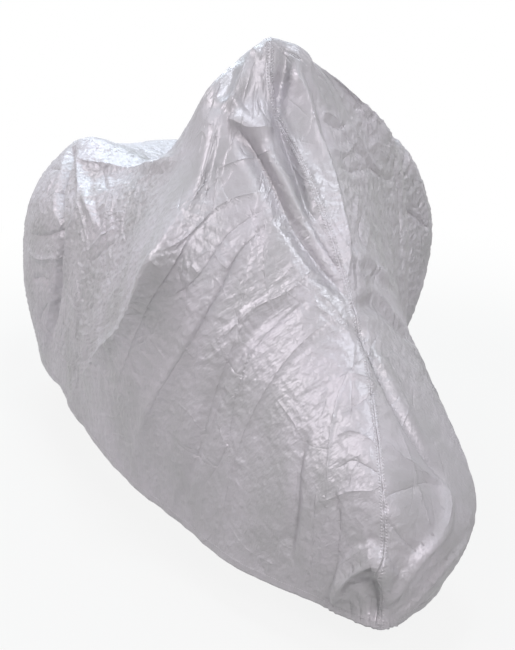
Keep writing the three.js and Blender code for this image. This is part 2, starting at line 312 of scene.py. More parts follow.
# %% [markdown]
# ## Main folds
#
# A hung cloth folds where it is pulled tight between two places and where there is too much of
# it. A fold could be sculpted by hand, but then nothing could be measured or changed later. Each
# fold here is a path over the cloth and a cross-section. Positive ribs lie on the right panel and
# negative ones on the left. A bell curve makes a soft roll or trough. These are the same folds
# that the frame's panels have.

# %% Fold paths
# name, height and width in mm, path of (rib, column)
FOLDS = [
    ("peak band", 13, 24, [(2.4, 0.25), (3.2, 0.6), (3.3, 0.95), (3.6, 1.35)]),
    ("peak trough", -10, 28, [(3.4, 0.35), (4.4, 0.55), (4.9, 0.8), (4.7, 1.1)]),
    ("ledge", 13, 44, [(3.65, 1.45), (2.7, 1.5), (1.7, 1.55), (0.6, 1.45)]),
    ("ledge hollow", -8, 46, [(2.95, 1.25), (1.65, 1.1), (0.3, 0.95)]),
    ("crown pleat", -18, 30, [(-1.8, 0.45), (-0.5, 0.95), (0.05, 1.35), (0.45, 1.8), (0.5, 2.2), (0.2, 2.5),
                              (0, 2.7)]),
    ("screen tube", 20, 30, [(-4.3, 0.45), (-1.2, 1), (-1, 1.25), (-0.7, 1.6), (-0.65, 1.9), (-0.4, 2.35),
                             (0, 2.7)]),
    ("tension fold", -17, 30, [(3.35, 1.5), (2.05, 1.8), (1.5, 2.1), (1.2, 2.3), (0.6, 2.6), (0.05, 2.8)]),
    ("tension ridge", 11, 30, [(1.5, 1.65), (0.95, 2), (0.6, 2.25), (0, 2.6)]),
    ("mudguard fold", -12, 26, [(0.1, 2.9), (-0.15, 3.1), (-0.45, 3.35), (-0.65, 3.5), (-1.25, 3.75)]),
    ("overlap lip", 11, 28, [(-0.3, 2.6), (-1.1, 2.75), (-1.8, 2.9), (-2.6, 3)]),
    ("overlap groove", -15, 30, [(-0.1, 2.85), (-1.1, 3.05), (-1.8, 3.2), (-2.4, 3.3)]),
    ("front arc", 10, 30, [(-1.2, 3.75), (-0.95, 3.95), (-0.6, 4.25), (-0.2, 4.75)]),
    ("hem puff", 11, 24, [(0.65, 4.95), (0.7, 4.7), (0.5, 4.45), (0, 4.4), (-0.3, 4.8)]),
    ("nose fold", -10, 26, [(1.35, 3.6), (1.45, 3.9), (1.45, 4.3), (1.4, 4.7)]),
    ("side trough", -10, 32, [(1.1, 2.8), (2, 3.1), (2.6, 3.55), (2.8, 4), (3, 4.8)]),
    ("side ridge", 8, 32, [(1.85, 2.4), (3.1, 2.85), (3.3, 3.3), (3.7, 4), (3.9, 4.6)]),
    ("flank ridge", 12, 34, [(5, 2.9), (4.95, 3.4), (4.9, 3.85), (5.2, 4.4)]),
    ("seat edge", 13, 32, [(7.7, 2.3), (7.2, 2.1), (6.8, 2.05), (6.3, 2.2), (6, 2.1)]),
    ("pannier crease", -17, 28, [(8.1, 2.2), (7.7, 2.5), (7.35, 2.95), (7.05, 3.4), (7.1, 4.1),
                                 (7.3, 4.8)]),
    ("left pannier crease", -12, 32, [(-7.5, 2.3), (-7.4, 3), (-7.3, 3.9), (-7.4, 4.8)]),
    ("tail crease", -10, 34, [(9.1, 1.2), (9, 2.4), (8.8, 3.6), (8.9, 4.8)]),
    ("left tail crease", -10, 34, [(-9, 1.3), (-9.1, 2.5), (-9.2, 3.7), (-9, 4.8)]),
]
print("folds", len(FOLDS))

# %% Paths over the cloth
PATH_SAMPLES = 8        # samples on each stretch of a path


def places_on(ribs, columns):
    """Points of the smooth skin, on the right panel where the rib is positive, else on the left."""
    right = skin("right", np.abs(ribs), columns)
    left = skin("left", np.abs(ribs), columns)
    return np.where((ribs >= 0)[..., None], right, left)


def trail(path):
    """Points along a path, even in share of the path, and the share of each."""
    path = np.asarray(path, float)
    stretches = len(path) - 1
    share = np.linspace(0, 1, stretches * PATH_SAMPLES + 1)
    ends = np.concatenate([2 * path[:1] - path[1:2], path, 2 * path[-1:] - path[-2:-1]])
    k = np.minimum((share * stretches).astype(int), stretches - 1)
    ribs, columns = smooth_between(*(ends[k + step] for step in range(4)), share * stretches - k).T
    return places_on(ribs, np.clip(columns, 0, LAST_COLUMN)), share


print("points on the first path", len(trail(FOLDS[0][-1])[0]))

# %% Distance from a path
FOLD_REACH = 3          # a fold acts as far as this many times its width


def nearest(points, normals, line, share, reach):
    """For the points within reach of a line: which they are, their signed distance from it and the
    share along it. On each stretch the nearest place is start + (offset . step / |step|^2) step, and
    the nearest stretch counts. The distance is negative on the line's right, seen from outside."""
    inside = np.flatnonzero(np.all((points > line.min(0) - reach) & (points < line.max(0) + reach), axis=1))
    start, step = line[:-1], np.diff(line, axis=0)
    offset = points[inside, None] - start
    along = np.clip((offset * step).sum(-1) / ((step**2).sum(-1) + 1e-12), 0, 1)
    away = offset - along[..., None] * step
    distance = np.linalg.norm(away, axis=-1)
    best = distance.argmin(1)
    row = np.arange(len(inside))
    to_left = np.cross(normals[inside], step[best])
    sign = np.where((to_left * away[row, best]).sum(-1) >= 0, 1, -1)
    shares = share[:-1][best] + along[row, best] * np.diff(share)[best]
    return inside, distance[row, best] * sign, shares


def smoothstep(value, low, high):
    """0 below low, 1 above high and t^2 (3 - 2 t) between, where t runs from 0 to 1."""
    t = np.clip((value - low) / (high - low), 0, 1)
    return t * t * (3 - 2 * t)


def fold_heights(points, normals, folds, fade=0.18):
    """Sum of height x strength x exp(-2 (distance / width)^2) over the folds, in metres. The
    strength is 1 in the middle, and fades over a share of the path at each end."""
    total = np.zeros(len(points))
    for _, height, width, path in folds:
        line, share = trail(path)
        at, across, along = nearest(points, normals, line, share, FOLD_REACH * width * MM)
        strength = smoothstep(np.minimum(along, 1 - along), -0.04, fade)
        total[at] += height * MM * strength * np.exp(-2 * (across / (width * MM)) ** 2)
    return total


def raised(grids, normals, heights):
    """Both grids with each point moved out along its normal by its height."""
    return {side: grids[side] + normals[side] * heights[side][..., None] for side in SIDES}


def on_grid(values, side, *arguments):
    """values(points, normals, ...) for a panel's grid, in the grid's shape."""
    flat = values(smooth[side].reshape(-1, 3), smooth_normals[side].reshape(-1, 3), *arguments)
    return flat.reshape(flat.shape[:-1] + smooth[side].shape[:2])


folded = raised(smooth, smooth_normals, {side: on_grid(fold_heights, side, FOLDS) for side in SIDES})
folded_normals = shared_normals(folded)
print("folded cloth reaches", {side: folded[side].max((0, 1)).round(3).tolist() for side in SIDES})

# %% [markdown]
# ## Creases
#
# The coated cloth is stiff for its thickness, so besides the soft folds it has sharp ones. The
# long thin ones are left from packing, when the cover was folded small. A sharp crease has a
# pointed crest and straight flanks, which exp(-distance / width) gives. The two flanks can have
# different widths, as where a roll of cloth laps over its neighbour.

# %% Creases under the peak and from packing
SOFT, CRISP = 2, 1      # sharpness: the power in exp(-(distance / width)^power)

# name, height, width left of the path and width right of it in mm, sharpness, path of (rib, column)
CREASES = [
    ("pleat trough", -8, 8, 9, CRISP, [(-1.83, 0.45), (-0.48, 0.95), (0.05, 1.33), (0.43, 1.78),
                                       (0.5, 2.1), (0.48, 2.3), (0.23, 2.5), (0, 2.68)]),
    ("tube crest", 9, 14, 8, CRISP, [(-4.33, 0.45), (-1.18, 0.98), (-1, 1.25), (-0.75, 1.58),
                                     (-0.68, 1.85), (-0.55, 2.1), (-0.38, 2.35), (-0.28, 2.55), (0, 2.7)]),
    ("second tube", 6, 12, 12, SOFT, [(-4.42, 0.65), (-1.9, 1.18), (-1.95, 1.43), (-1.88, 1.65)]),
    ("ledge edge", 9, 30, 10, CRISP, [(3.65, 1.43), (2.7, 1.5), (1.73, 1.53), (0.6, 1.45)]),
    ("peak band edge", 5, 12, 8, CRISP, [(2.38, 0.25), (3.18, 0.58), (3.3, 0.93), (3.6, 1.33)]),
    ("peak trough bottom", -5, 10, 10, CRISP, [(3.43, 0.35), (4.42, 0.55), (4.9, 0.8), (4.67, 1.1)]),
    ("tension trough", -8, 9, 9, CRISP, [(3.33, 1.48), (2.05, 1.78), (1.48, 2.08), (1.2, 2.3), (0.93, 2.45),
                                         (0.6, 2.58), (0.3, 2.68), (0.05, 2.8)]),
    ("tension ridge crest", 4, 12, 12, SOFT, [(1.5, 1.65), (0.95, 2), (0.6, 2.25), (0.3, 2.45), (0, 2.6)]),
    ("packing crease 1", 2.5, 5, 26, CRISP, [(0.7, 1.68), (2.7, 1.93), (3.78, 2.05)]),
    ("packing crease 2", 2.5, 5, 30, CRISP, [(1.68, 2.15), (2.62, 2.25), (3.45, 2.4), (4.15, 2.68),
                                             (4.93, 2.95)]),
    ("packing crease 3", -2.5, 28, 5, CRISP, [(1.4, 2.23), (2.3, 2.4), (3.05, 2.62), (3.68, 3.05),
                                              (4.17, 3.3)]),
    ("packing crease 4", -4, 32, 5, CRISP, [(1.15, 2.23), (2, 2.48), (2.53, 2.68), (2.95, 3), (3.3, 3.4),
                                            (3.62, 3.9), (3.8, 4.55)]),
    ("packing crease 5", 2.5, 5, 26, CRISP, [(0.55, 2.55), (1.33, 2.78), (2.1, 2.98), (2.8, 3.3)]),
    ("packing crease 6", -4, 32, 5, CRISP, [(0.62, 2.7), (1.55, 2.98), (2.08, 3.28), (2.33, 3.58),
                                            (2.43, 4), (2.78, 4.62)]),
    ("packing crease 7", 4, 5, 34, CRISP, [(0.23, 2.83), (1.28, 3.12), (1.78, 3.43), (2.15, 3.8),
                                           (2.27, 4.15), (2.33, 4.88)]),
    ("packing crease 8", 3, 5, 28, CRISP, [(-0.25, 3.12), (0.53, 3.28), (0.95, 3.62), (1.05, 4.17),
                                           (0.93, 4.88)]),
]
print("creases so far", len(CREASES))

# %% Creases over the front wheel
CREASES += [
    ("nose crease", -2.5, 6, 16, CRISP, [(0.1, 3.03), (0.38, 3.28), (0.53, 3.53)]),
    ("nose fold 1", -4, 10, 6, CRISP, [(1.35, 3.62), (1.45, 3.9), (1.45, 4.3), (1.4, 4.7)]),
    ("nose fold 2", -7, 8, 16, CRISP, [(0.93, 3.88), (0.85, 4.15), (0.8, 4.53), (0.73, 4.9)]),
    ("mudguard fold 1", -8, 14, 9, CRISP, [(0.12, 2.9), (-0.15, 3.1), (-0.43, 3.33), (-0.65, 3.5),
                                           (-0.95, 3.65), (-1.23, 3.75)]),
    ("mudguard fold 2", 8, 16, 16, SOFT, [(-0.28, 3.12), (-0.65, 3.35), (-0.85, 3.53), (-1.12, 3.7)]),
    ("mudguard bend", 6, 10, 10, CRISP, [(-1.18, 3.75), (-1.05, 3.85), (-0.83, 4)]),
    ("mudguard sweep 1", 10, 13, 13, SOFT, [(-0.95, 3.93), (-0.62, 4.23), (-0.33, 4.6), (0, 4.85)]),
    ("mudguard sweep 2", 9, 12, 12, SOFT, [(-1.65, 4.1), (-1.07, 4.33), (-0.75, 4.78), (-0.35, 4.95)]),
    ("puff rim", 30, 13, 17, SOFT, [(0.7, 4.95), (0.62, 4.73), (0.5, 4.6), (0.28, 4.48), (0.1, 4.42),
                                    (-0.03, 4.52), (-0.04, 4.8)]),
    ("puff hollow", -17, 24, 24, SOFT, [(0.35, 4.62), (0.2, 4.75), (0.18, 4.95)]),
    ("gather 1", -4, 5, 5, CRISP, [(0.53, 4.84), (0.5, 4.9), (0.48, 5)]),
    ("gather 2", -5, 5, 5, CRISP, [(0.42, 4.8), (0.38, 4.88), (0.35, 5)]),
    ("gather 3", -5, 5, 5, CRISP, [(0.28, 4.76), (0.25, 4.86), (0.23, 5)]),
    ("gather 4", -5, 5, 5, CRISP, [(0.15, 4.78), (0.13, 4.87), (0.1, 5)]),
    ("cross crease 1", 3, 9, 6, CRISP, [(0.65, 3.28), (0.38, 3.25), (0.08, 3.28), (-0.15, 3.35)]),
    ("cross crease 2", -4, 6, 9, CRISP, [(0.7, 3.48), (0.38, 3.43), (0.03, 3.38), (-0.18, 3.35)]),
    ("cross crease 3", 3, 9, 6, CRISP, [(0.9, 3.62), (0.55, 3.58), (0.23, 3.62), (0, 3.68)]),
    ("cross crease 4", -3, 6, 9, CRISP, [(0.9, 3.8), (0.58, 3.75), (0.25, 3.8), (0, 3.85)]),
    ("cross crease 5", 3, 9, 6, CRISP, [(1.18, 4.05), (0.73, 3.95), (0.2, 3.95), (0, 3.9)]),
    ("pull to the bend 1", 5, 12, 8, CRISP, [(-0.1, 3.62), (-0.38, 3.68), (-0.7, 3.7), (-1.15, 3.75)]),
    ("pull to the bend 2", -5, 9, 12, CRISP, [(0, 4), (-0.3, 3.88), (-0.73, 3.75), (-1.15, 3.75)]),
    ("pull to the bend 3", -4, 8, 8, CRISP, [(0, 4.12), (-0.33, 4.23), (-0.55, 4.25)]),
    ("mudguard crease", 4, 8, 10, CRISP, [(-0.48, 3.55), (-0.53, 3.68), (-0.62, 3.9), (-0.7, 4.03)]),
]
print("creases so far", len(CREASES))

# %% Creases beside the screen and on the flank
CREASES += [
    ("second tube trough", -7, 9, 14, SOFT, [(-2.3, 0.65), (-1.55, 1.1), (-1.38, 1.5), (-1.12, 1.83),
                                             (-0.95, 2.18), (-0.62, 2.48), (-0.38, 2.7)]),
    ("screen crumple 1", -5, 7, 7, CRISP, [(-1.45, 1.58), (-2, 1.75), (-3.15, 1.95)]),
    ("screen crumple 2", 5, 7, 9, CRISP, [(-1.07, 1.8), (-1.95, 1.98), (-3.28, 2.15)]),
    ("screen crumple 3", -5, 7, 7, CRISP, [(-1.23, 1.98), (-1.9, 2.15), (-3.7, 2.43), (-4.17, 2.58)]),
    ("screen crumple 4", -5, 7, 9, CRISP, [(-2.27, 2.48), (-1.28, 2.6), (-1.58, 2.83), (-0.75, 2.9)]),
    ("screen crumple 5", 4, 9, 7, CRISP, [(-0.43, 2.62), (-0.83, 2.83), (-2, 2.9), (-3.48, 3.2)]),
    ("packing crease 9", 3, 5, 30, CRISP, [(4.15, 2.68), (4.3, 2.98), (4.53, 3.4), (4.53, 3.9),
                                           (4.5, 4.48)]),
    ("packing crease 10", 3, 5, 26, CRISP, [(1.98, 2.9), (2.38, 3.2), (2.68, 3.58), (2.8, 4),
                                            (2.98, 4.48)]),
    ("packing crease 11", 3, 5, 20, CRISP, [(1.18, 3.9), (1.18, 4.2), (1.1, 4.6), (1.05, 4.9)]),
    ("luggage streak 1", 2.5, 8, 6, CRISP, [(7.33, 2.48), (6.75, 3.1), (6.43, 3.48), (6.28, 3.93)]),
    ("luggage streak 2", -2, 6, 9, CRISP, [(6.53, 2.78), (6.2, 3.28), (5.55, 3.65)]),
    ("luggage streak 3", 2.2, 8, 6, CRISP, [(6.2, 2.62), (5.83, 3.08), (5.4, 3.55)]),
    ("peak fan 1", 3, 8, 12, CRISP, [(-4.5, 0.35), (-3.4, 0.95), (-2.9, 1.5), (-2.6, 1.85)]),
    ("peak fan 2", -3, 10, 7, CRISP, [(-4.5, 0.45), (-4, 1), (-3.6, 1.6), (-3.4, 2.1)]),
    ("peak fan 3", 3, 8, 12, CRISP, [(-4.6, 0.45), (-4.5, 1.1), (-4.3, 1.8), (-4.2, 2.4)]),
    ("peak slope hollow", -9, 34, 34, SOFT, [(5.4, 0.23), (5.3, 0.65), (5.35, 1.03), (5.5, 1.43)]),
    ("bar crumple", -6, 9, 9, CRISP, [(-2.27, 1.83), (-3, 2.25), (-3.03, 2.53)]),
    ("bar edge", 6, 12, 12, CRISP, [(-2.98, 1.88), (-3.62, 2.27), (-3.88, 2.43), (-4.2, 2.55)]),
    ("lap edge", 6, 16, 8, CRISP, [(-1.07, 2.95), (-1.73, 3.12), (-2, 3.2)]),
]
print("creases so far", len(CREASES))

# %% Creases over the luggage and the handlebar
CREASES += [
    ("luggage edge", 5, 12, 9, CRISP, [(7.68, 2.3), (7.48, 2.27), (7.2, 2.1), (6.75, 2.05), (6.33, 2.2),
                                       (6.15, 2.12)]),
    ("luggage fold", -15, 12, 12, CRISP, [(8.12, 2.2), (7.68, 2.48), (7.35, 2.93), (7.1, 3.2)]),
    ("luggage ridge", 9, 14, 14, SOFT, [(7.55, 2.4), (7.03, 2.73), (6.6, 3.05), (6.4, 3.18)]),
    ("luggage line", -8, 10, 10, CRISP, [(7.03, 3.43), (7.05, 3.8), (7.08, 4.12), (7.2, 4.5)]),
    ("screen dash 1", 2.5, 7, 12, CRISP, [(-1.55, 1.53), (-2, 1.6), (-2.45, 1.75)]),
    ("screen dash 2", -3, 8, 13, CRISP, [(-1.45, 1.98), (-2.23, 2.05), (-3.75, 2.35)]),
    ("screen dash 3", 4, 7, 9, CRISP, [(-2.02, 2.33), (-1.62, 2.4), (-1.12, 2.5)]),
    ("screen dash 4", -3, 8, 13, CRISP, [(-2.62, 2.68), (-1.95, 2.85), (-1.05, 2.95)]),
    ("screen dash 5", 4, 6, 8, CRISP, [(-0.93, 2.7), (-1.3, 2.7), (-2.35, 2.6)]),
    ("screen lap", -4, 10, 20, CRISP, [(-2.3, 1.85), (-3.45, 2.3), (-4.23, 2.6), (-4.6, 2.6)]),
    ("bar valley", -14, 16, 16, CRISP, [(-4.98, 2.12), (-4.67, 2.55), (-4.65, 2.88), (-4.5, 3.2),
                                        (-4.5, 3.48)]),
    ("left luggage ridge", 9, 12, 12, CRISP, [(-6.73, 2.3), (-6.75, 2.5), (-6.8, 2.98), (-6.78, 3.5)]),
    ("left luggage valley", -8, 10, 12, CRISP, [(-6.3, 2.95), (-6.62, 3.1), (-6.83, 3.28)]),
    ("luggage main edge", 9, 14, 10, CRISP, [(7.83, 2.2), (7.38, 2.5), (6.86, 2.98), (6.88, 3.48),
                                             (7, 4.08)]),
    ("luggage top crease", -4, 8, 10, CRISP, [(8.05, 2.62), (7.9, 2.6), (7.75, 2.58)]),
    ("luggage facet foot", -9, 10, 16, CRISP, [(8.03, 3.43), (7.38, 3.45), (6.98, 3.35)]),
    ("luggage crumple 1", 7, 10, 10, CRISP, [(8, 3.58), (7.53, 3.7), (7.05, 3.68)]),
    ("luggage crumple 2", -7, 9, 9, CRISP, [(7.75, 3.93), (7.48, 3.9), (7.28, 3.95)]),
    ("luggage crumple 3", 4, 6, 9, CRISP, [(6.48, 3.43), (6.35, 3.2), (6.2, 3.05)]),
    ("luggage crumple 4", -4, 9, 6, CRISP, [(6.38, 3.48), (6.23, 3.3), (6.1, 3.15)]),
    ("luggage crumple 5", -4, 8, 10, CRISP, [(7.23, 2.25), (7, 2.42), (6.73, 2.62)]),
    ("luggage crumple 6", -5, 8, 10, CRISP, [(7.1, 4.6), (6.62, 4.62), (6.05, 4.65)]),
    ("luggage upright", 5, 9, 16, CRISP, [(6.55, 3.68), (6.25, 3.98), (5.98, 4.28)]),
    ("luggage pucker 1", -5, 8, 12, CRISP, [(7.25, 4.15), (7.55, 4.42), (7.08, 4.65)]),
    ("luggage pucker 2", -4, 8, 12, CRISP, [(5.38, 4.2), (5.43, 4.42), (6.15, 4.45)]),
    ("flank ridge", 6, 16, 12, CRISP, [(5, 2.98), (4.93, 3.43), (4.9, 3.83), (5.12, 4.25), (5.3, 4.65)]),
]
print("creases placed by hand", len(CREASES))

# %% Height of the creases
CREASE_REACH = 5        # a crease acts as far as this many times its width
LINE_REACH = 14 * MM    # the material knows of a crease as near as this
LINE_FADE = 7 * MM
MOST_LINE_DEPTH = 1.7   # mm


def creased(points, normals, creases, fade=0.2):
    """Three rows of numbers. The first is the sum of height x strength x
    exp(-(distance / width)^sharpness) over the creases, in metres. The other two let the material
    sharpen the crest of a crisp crease, which is finer than the grid: the signed distance in mm
    from the nearest one, and its height there in mm, kept within MOST_LINE_DEPTH."""
    total, gap, depth = np.zeros((3, len(points)))
    gap += LINE_REACH / MM
    for _, height, left_width, right_width, sharpness, path in creases:
        line, share = trail(path)
        reach = max(CREASE_REACH * max(left_width, right_width) * MM, LINE_REACH)
        at, across, along = nearest(points, normals, line, share, reach)
        width = np.where(across > 0, left_width, right_width) * MM
        strength = smoothstep(np.minimum(along, 1 - along), -0.03, fade)
        total[at] += height * MM * strength * np.exp(-np.abs(across / width) ** sharpness)
        nearer = np.abs(across) / MM < np.abs(gap[at])
        if sharpness == CRISP:
            here = at[nearer]
            gap[here] = across[nearer] / MM
            fading = strength[nearer] * np.exp(-(across[nearer] / LINE_FADE) ** 2)
            depth[here] = np.clip(height, -MOST_LINE_DEPTH, MOST_LINE_DEPTH) * fading
    return np.stack([total, gap, depth])


hand_lines = {side: on_grid(creased, side, CREASES) for side in SIDES}
hand_creases = {side: hand_lines[side][0] for side in SIDES}
print("highest crease, mm", {side: float((hand_creases[side].max() / MM).round(1)) for side in SIDES})

# %% Where the cloth is held straight
HOLD_WIDTH, HOLD_REACH = 22 * MM, 60 * MM

# Lines along which the cloth is pulled straight, with no fold: name, path of (rib, column)
TAUT_LINES = [
    ("peak to flank", [(2.6, 0.1), (3.6, 0.7), (3.75, 1.4), (4.35, 1.95), (4.75, 2.5), (4.95, 2.95)]),
    ("peak to bar end", [(-4.6, 0.3), (-4.7, 1.2), (-4.8, 2), (-4.9, 2.6), (-4.9, 3.4)]),
]


def closeness(points, normals, rows):
    """1 on the path of any row, and exp(-(distance / HOLD_WIDTH)^2) beside it."""
    total = np.zeros(len(points))
    for row in rows:
        line, share = trail(row[-1])
        at, across, _ = nearest(points, normals, line, share, HOLD_REACH)
        total[at] = np.maximum(total[at], np.exp(-(across / HOLD_WIDTH) ** 2))
    return total


closeness_to_folds = {side: on_grid(closeness, side, FOLDS + CREASES + TAUT_LINES) for side in SIDES}
print("share of the cloth on folds", {side: closeness_to_folds[side].mean().round(2) for side in SIDES})

# %% [markdown]
# ## Crumple
#
# Between the named folds the coated cloth is crumpled all over: short creases in every direction,
# soft dents, and rows of small ridges where it is squeezed one way. Short creases are laid by a
# seeded random generator, so every run gives the same ones. Dents come from a sum of cosine
# waves in random directions, which is a plain way to get smooth noise with numpy alone. Where
# the cloth is pulled smooth, as at the peak, most of all this is taken away again.

# %% Short random creases
SHORT_CREASES = {"right": (560, 11), "left": (480, 12)}     # how many, and the seed
SHORT_LENGTHS = (6, 28)                                     # in cells of the grid
SHORT_HEIGHTS, SHORT_WIDTHS = (0.4, 1.3), (4, 14)           # in mm
SHORT_BEND = 0.12


def random_creases(side, count, seed):
    """Bent creases of about 30 to 170 mm in random grid places, as rows like those of CREASES."""
    random = np.random.default_rng(seed)
    lines = np.array([CELLS_AROUND, CELLS_DOWN])
    start = random.uniform(0, 1, (count, 2)) * lines
    angle = random.uniform(0, 2 * np.pi, count)
    length = random.uniform(*SHORT_LENGTHS, count)
    heading = np.stack([np.cos(angle), np.sin(angle)], axis=1)
    bend = random.normal(0, SHORT_BEND, count)[:, None] * heading[:, ::-1] * (1, -1)
    stops = [start, start + length[:, None] * (heading / 2 + bend), start + length[:, None] * heading]
    stops = np.clip(np.stack(stops, axis=1), 0, lines)
    ribs = np.interp(stops[..., 0], np.arange(CELLS_AROUND + 1), rib_lines)
    columns = np.interp(stops[..., 1], np.arange(CELLS_DOWN + 1), column_lines)
    heights = random.choice([-1, 1], count) * random.uniform(*SHORT_HEIGHTS, count)
    widths = random.uniform(*SHORT_WIDTHS, (count, 2))
    paths = np.stack([SIDES[side] * np.maximum(ribs, 1e-6), columns], axis=-1)
    return [("short crease", *row) for row in zip(heights, *widths.T, [CRISP] * count, paths)]


short_lines = {side: on_grid(creased, side, random_creases(side, *SHORT_CREASES[side])) for side in SIDES}
short_creases = {side: short_lines[side][0] for side in SIDES}
print("short creases", {side: count for side, (count, _) in SHORT_CREASES.items()})

# %% Smooth noise
def waves(points, size, count, seed):
    """Smooth noise of about unit strength: a sum of cosines of random direction, with wavelengths
    around size and random phases."""
    random = np.random.default_rng(seed)
    headings = unit(random.normal(size=(count, 3)))
    wavelengths = size * random.uniform(0.7, 1.5, (count, 1))
    turns = points @ (headings / wavelengths).T * 2 * np.pi
    return np.cos(turns + random.uniform(0, 2 * np.pi, count)).sum(-1) * np.sqrt(2 / count)


print("noise at one point", waves(np.zeros((1, 3)), size=1.0, count=16, seed=0).round(2))

# %% Dents and rows of small ridges
# name, middle (rib, column), reach, ridge spacing, height, in mm, and two places that the
# ridges follow each other between
CRINKLES = [
    ("luggage front", (6.4, 2.7), 300, 17, 1.1, (6.9, 2.7), (5.9, 2.7)),
    ("between the packing creases", (2.0, 2.9), 230, 19, 0.8, (1.2, 2.6), (2.8, 3.3)),
    ("under the tension fold", (1.2, 2.6), 130, 16, 0.9, (0.8, 2.5), (1.8, 2.9)),
    ("flank", (4.3, 3.2), 220, 21, 0.9, (3.6, 2.8), (4.9, 3.6)),
    ("bar", (-2.6, 1.9), 150, 18, 1.0, (-2.6, 1.5), (-2.6, 2.3)),
    ("left luggage", (-6.8, 2.2), 260, 24, 1.2, (-6.8, 1.7), (-6.8, 2.8)),
]


def crinkle_heights(points, normals, rows):
    """Sum over the rows of height x window x patches x (cos(phase) + 0.3 cos(2 phase)). The phase
    is 2 pi distance / spacing, plus noise. The window is exp(-(distance from middle / reach)^2)."""
    total = np.zeros(len(points))
    for k, (_, centre, reach, spacing, height, start, end) in enumerate(rows):
        middle_point, a, b = places_on(*np.array([centre, start, end]).T)
        window = np.exp(-(np.linalg.norm(points - middle_point, axis=1) / (reach * MM)) ** 2)
        phase = (points - a) @ unit(b - a) * 2 * np.pi / (spacing * MM)
        phase = phase + 2.2 * waves(points, size=0.09, count=10, seed=100 + k)
        patchy = np.clip(0.6 + 0.6 * waves(points, size=0.06, count=10, seed=200 + k), 0, 1.4)
        total += height * MM * window * patchy * (np.cos(phase) + 0.3 * np.cos(2 * phase))
    return total


def dent_heights(points, normals):
    """Broad dents of about a millimetre, and folded noise, 0.8 - |waves|, for small crisp ridges."""
    broad = 1.6 * waves(points, size=0.17, count=14, seed=1)
    small = 0.35 * (0.8 - np.abs(waves(points, size=0.075, count=14, seed=2)))
    tiny = 0.12 * (0.8 - np.abs(waves(points, size=0.038, count=16, seed=3)))
    return (broad + small + tiny) * MM


crinkles = {side: on_grid(crinkle_heights, side, CRINKLES) for side in SIDES}
dents = {side: on_grid(dent_heights, side) for side in SIDES}
print("crinkles reach", {side: float(np.abs(crinkles[side]).max().round(4)) for side in SIDES})

# %% Where the cloth is pulled smooth
MOST_CALM = 0.7

# Places where the cloth is pulled smooth: name, middle (rib, column), reach in mm
SMOOTH_PLACES = [
    ("peak", (0.3, 0.5), 190),
    ("tube", (-0.8, 1.6), 130),
    ("under the ledge", (2.3, 1.75), 170),
    ("flank of the peak", (4.2, 1.5), 200),
    ("left of the peak", (-3.8, 1.0), 200),
    ("left of the wheel", (-0.9, 3.65), 210),
]


def slackness(points, normals, rows):
    """1 away from all of the rows, and 1 - MOST_CALM in the middle of one: the window of a row is
    exp(-(distance / reach)^4), which is flat in the middle."""
    calm = np.zeros(len(points))
    for _, place, reach in rows:
        away = np.linalg.norm(points - places_on(*np.array(place, float)), axis=1)
        calm = np.maximum(calm, np.exp(-(away / (reach * MM)) ** 4))
    return 1 - MOST_CALM * calm


slack_share = {side: on_grid(slackness, side, SMOOTH_PLACES) for side in SIDES}
print("mean slackness", {side: float(slack_share[side].mean().round(2)) for side in SIDES})

# %% [markdown]
# ## Settling the cloth
#
# Where there is more cloth than surface, it buckles into crumples that no formula gives well. So
# Blender's cloth simulation does this part. Every second grid line makes a sheet of both panels,
# sewn along the seam. Its springs want to be a few per cent longer than they are, so it buckles,
# and a soft pin holds each point near its place as the machine inside does. A tight pin gives
# small crinkles, and a loose one gives broad dents. The movement is read back, and the object that
# was simulated is removed. Folds, the seam and the hem are stiffer, so they are pinned more.

# %% How much extra cloth there is, and how loosely it lies
MOST_EXTRA = 0.06       # extra length as a share of the cloth's own
EXTRA, PIN = 3, 4       # columns of the table
EVERYWHERE = {EXTRA: 0.022, PIN: 0.45}
EVERYWHERE_WEIGHT = 0.35

# name, middle (rib, column), reach in mm, extra cloth, pin
SLACK = [
    ("peak right", (2.5, 0.6), 200, 0.020, 0.42),
    ("peak left", (-2.5, 0.8), 220, 0.020, 0.45),
    ("packed middle", (2.6, 2.6), 340, 0.008, 0.62),
    ("luggage front", (6.6, 2.8), 280, 0.042, 0.36),
    ("lower right", (2.8, 4.1), 300, 0.012, 0.50),
    ("nose", (0.5, 4.0), 220, 0.018, 0.46),
    ("mudguard left", (-1.0, 3.6), 220, 0.014, 0.50),
    ("bar left", (-3.2, 2.1), 200, 0.034, 0.34),
    ("luggage left", (-6.8, 2.4), 300, 0.040, 0.34),
]


def blended(points, column):
    """Weighted mean of a column of SLACK. A row's weight is exp(-(distance / reach)^2), and the
    value for everywhere weighs as much as a row does at about its reach."""
    weights, values = [np.full(len(points), EVERYWHERE_WEIGHT)], [EVERYWHERE[column]]
    for row in SLACK:
        centre = places_on(*np.array(row[1], float))
        weights.append(np.exp(-(np.linalg.norm(points - centre, axis=1) / (row[2] * MM)) ** 2))
        values.append(row[column])
    return np.average(np.array(values)[:, None] * np.ones(len(points)), axis=0, weights=np.array(weights))


extra_cloth = {side: on_grid(lambda points, _: blended(points, EXTRA), side) for side in SIDES}
print("mean extra cloth", {side: float(extra_cloth[side].mean().round(4)) for side in SIDES})

# %% Sheet to simulate
SETTLE_STEP = 2


def grid_quads(numbers, outward):
    """Quads between the neighbouring points of a grid of point numbers, facing out."""
    corners = (numbers[:-1, :-1], numbers[1:, :-1], numbers[1:, 1:], numbers[:-1, 1:])
    return np.stack(corners, axis=-1).reshape(-1, 4)[:, ::outward]


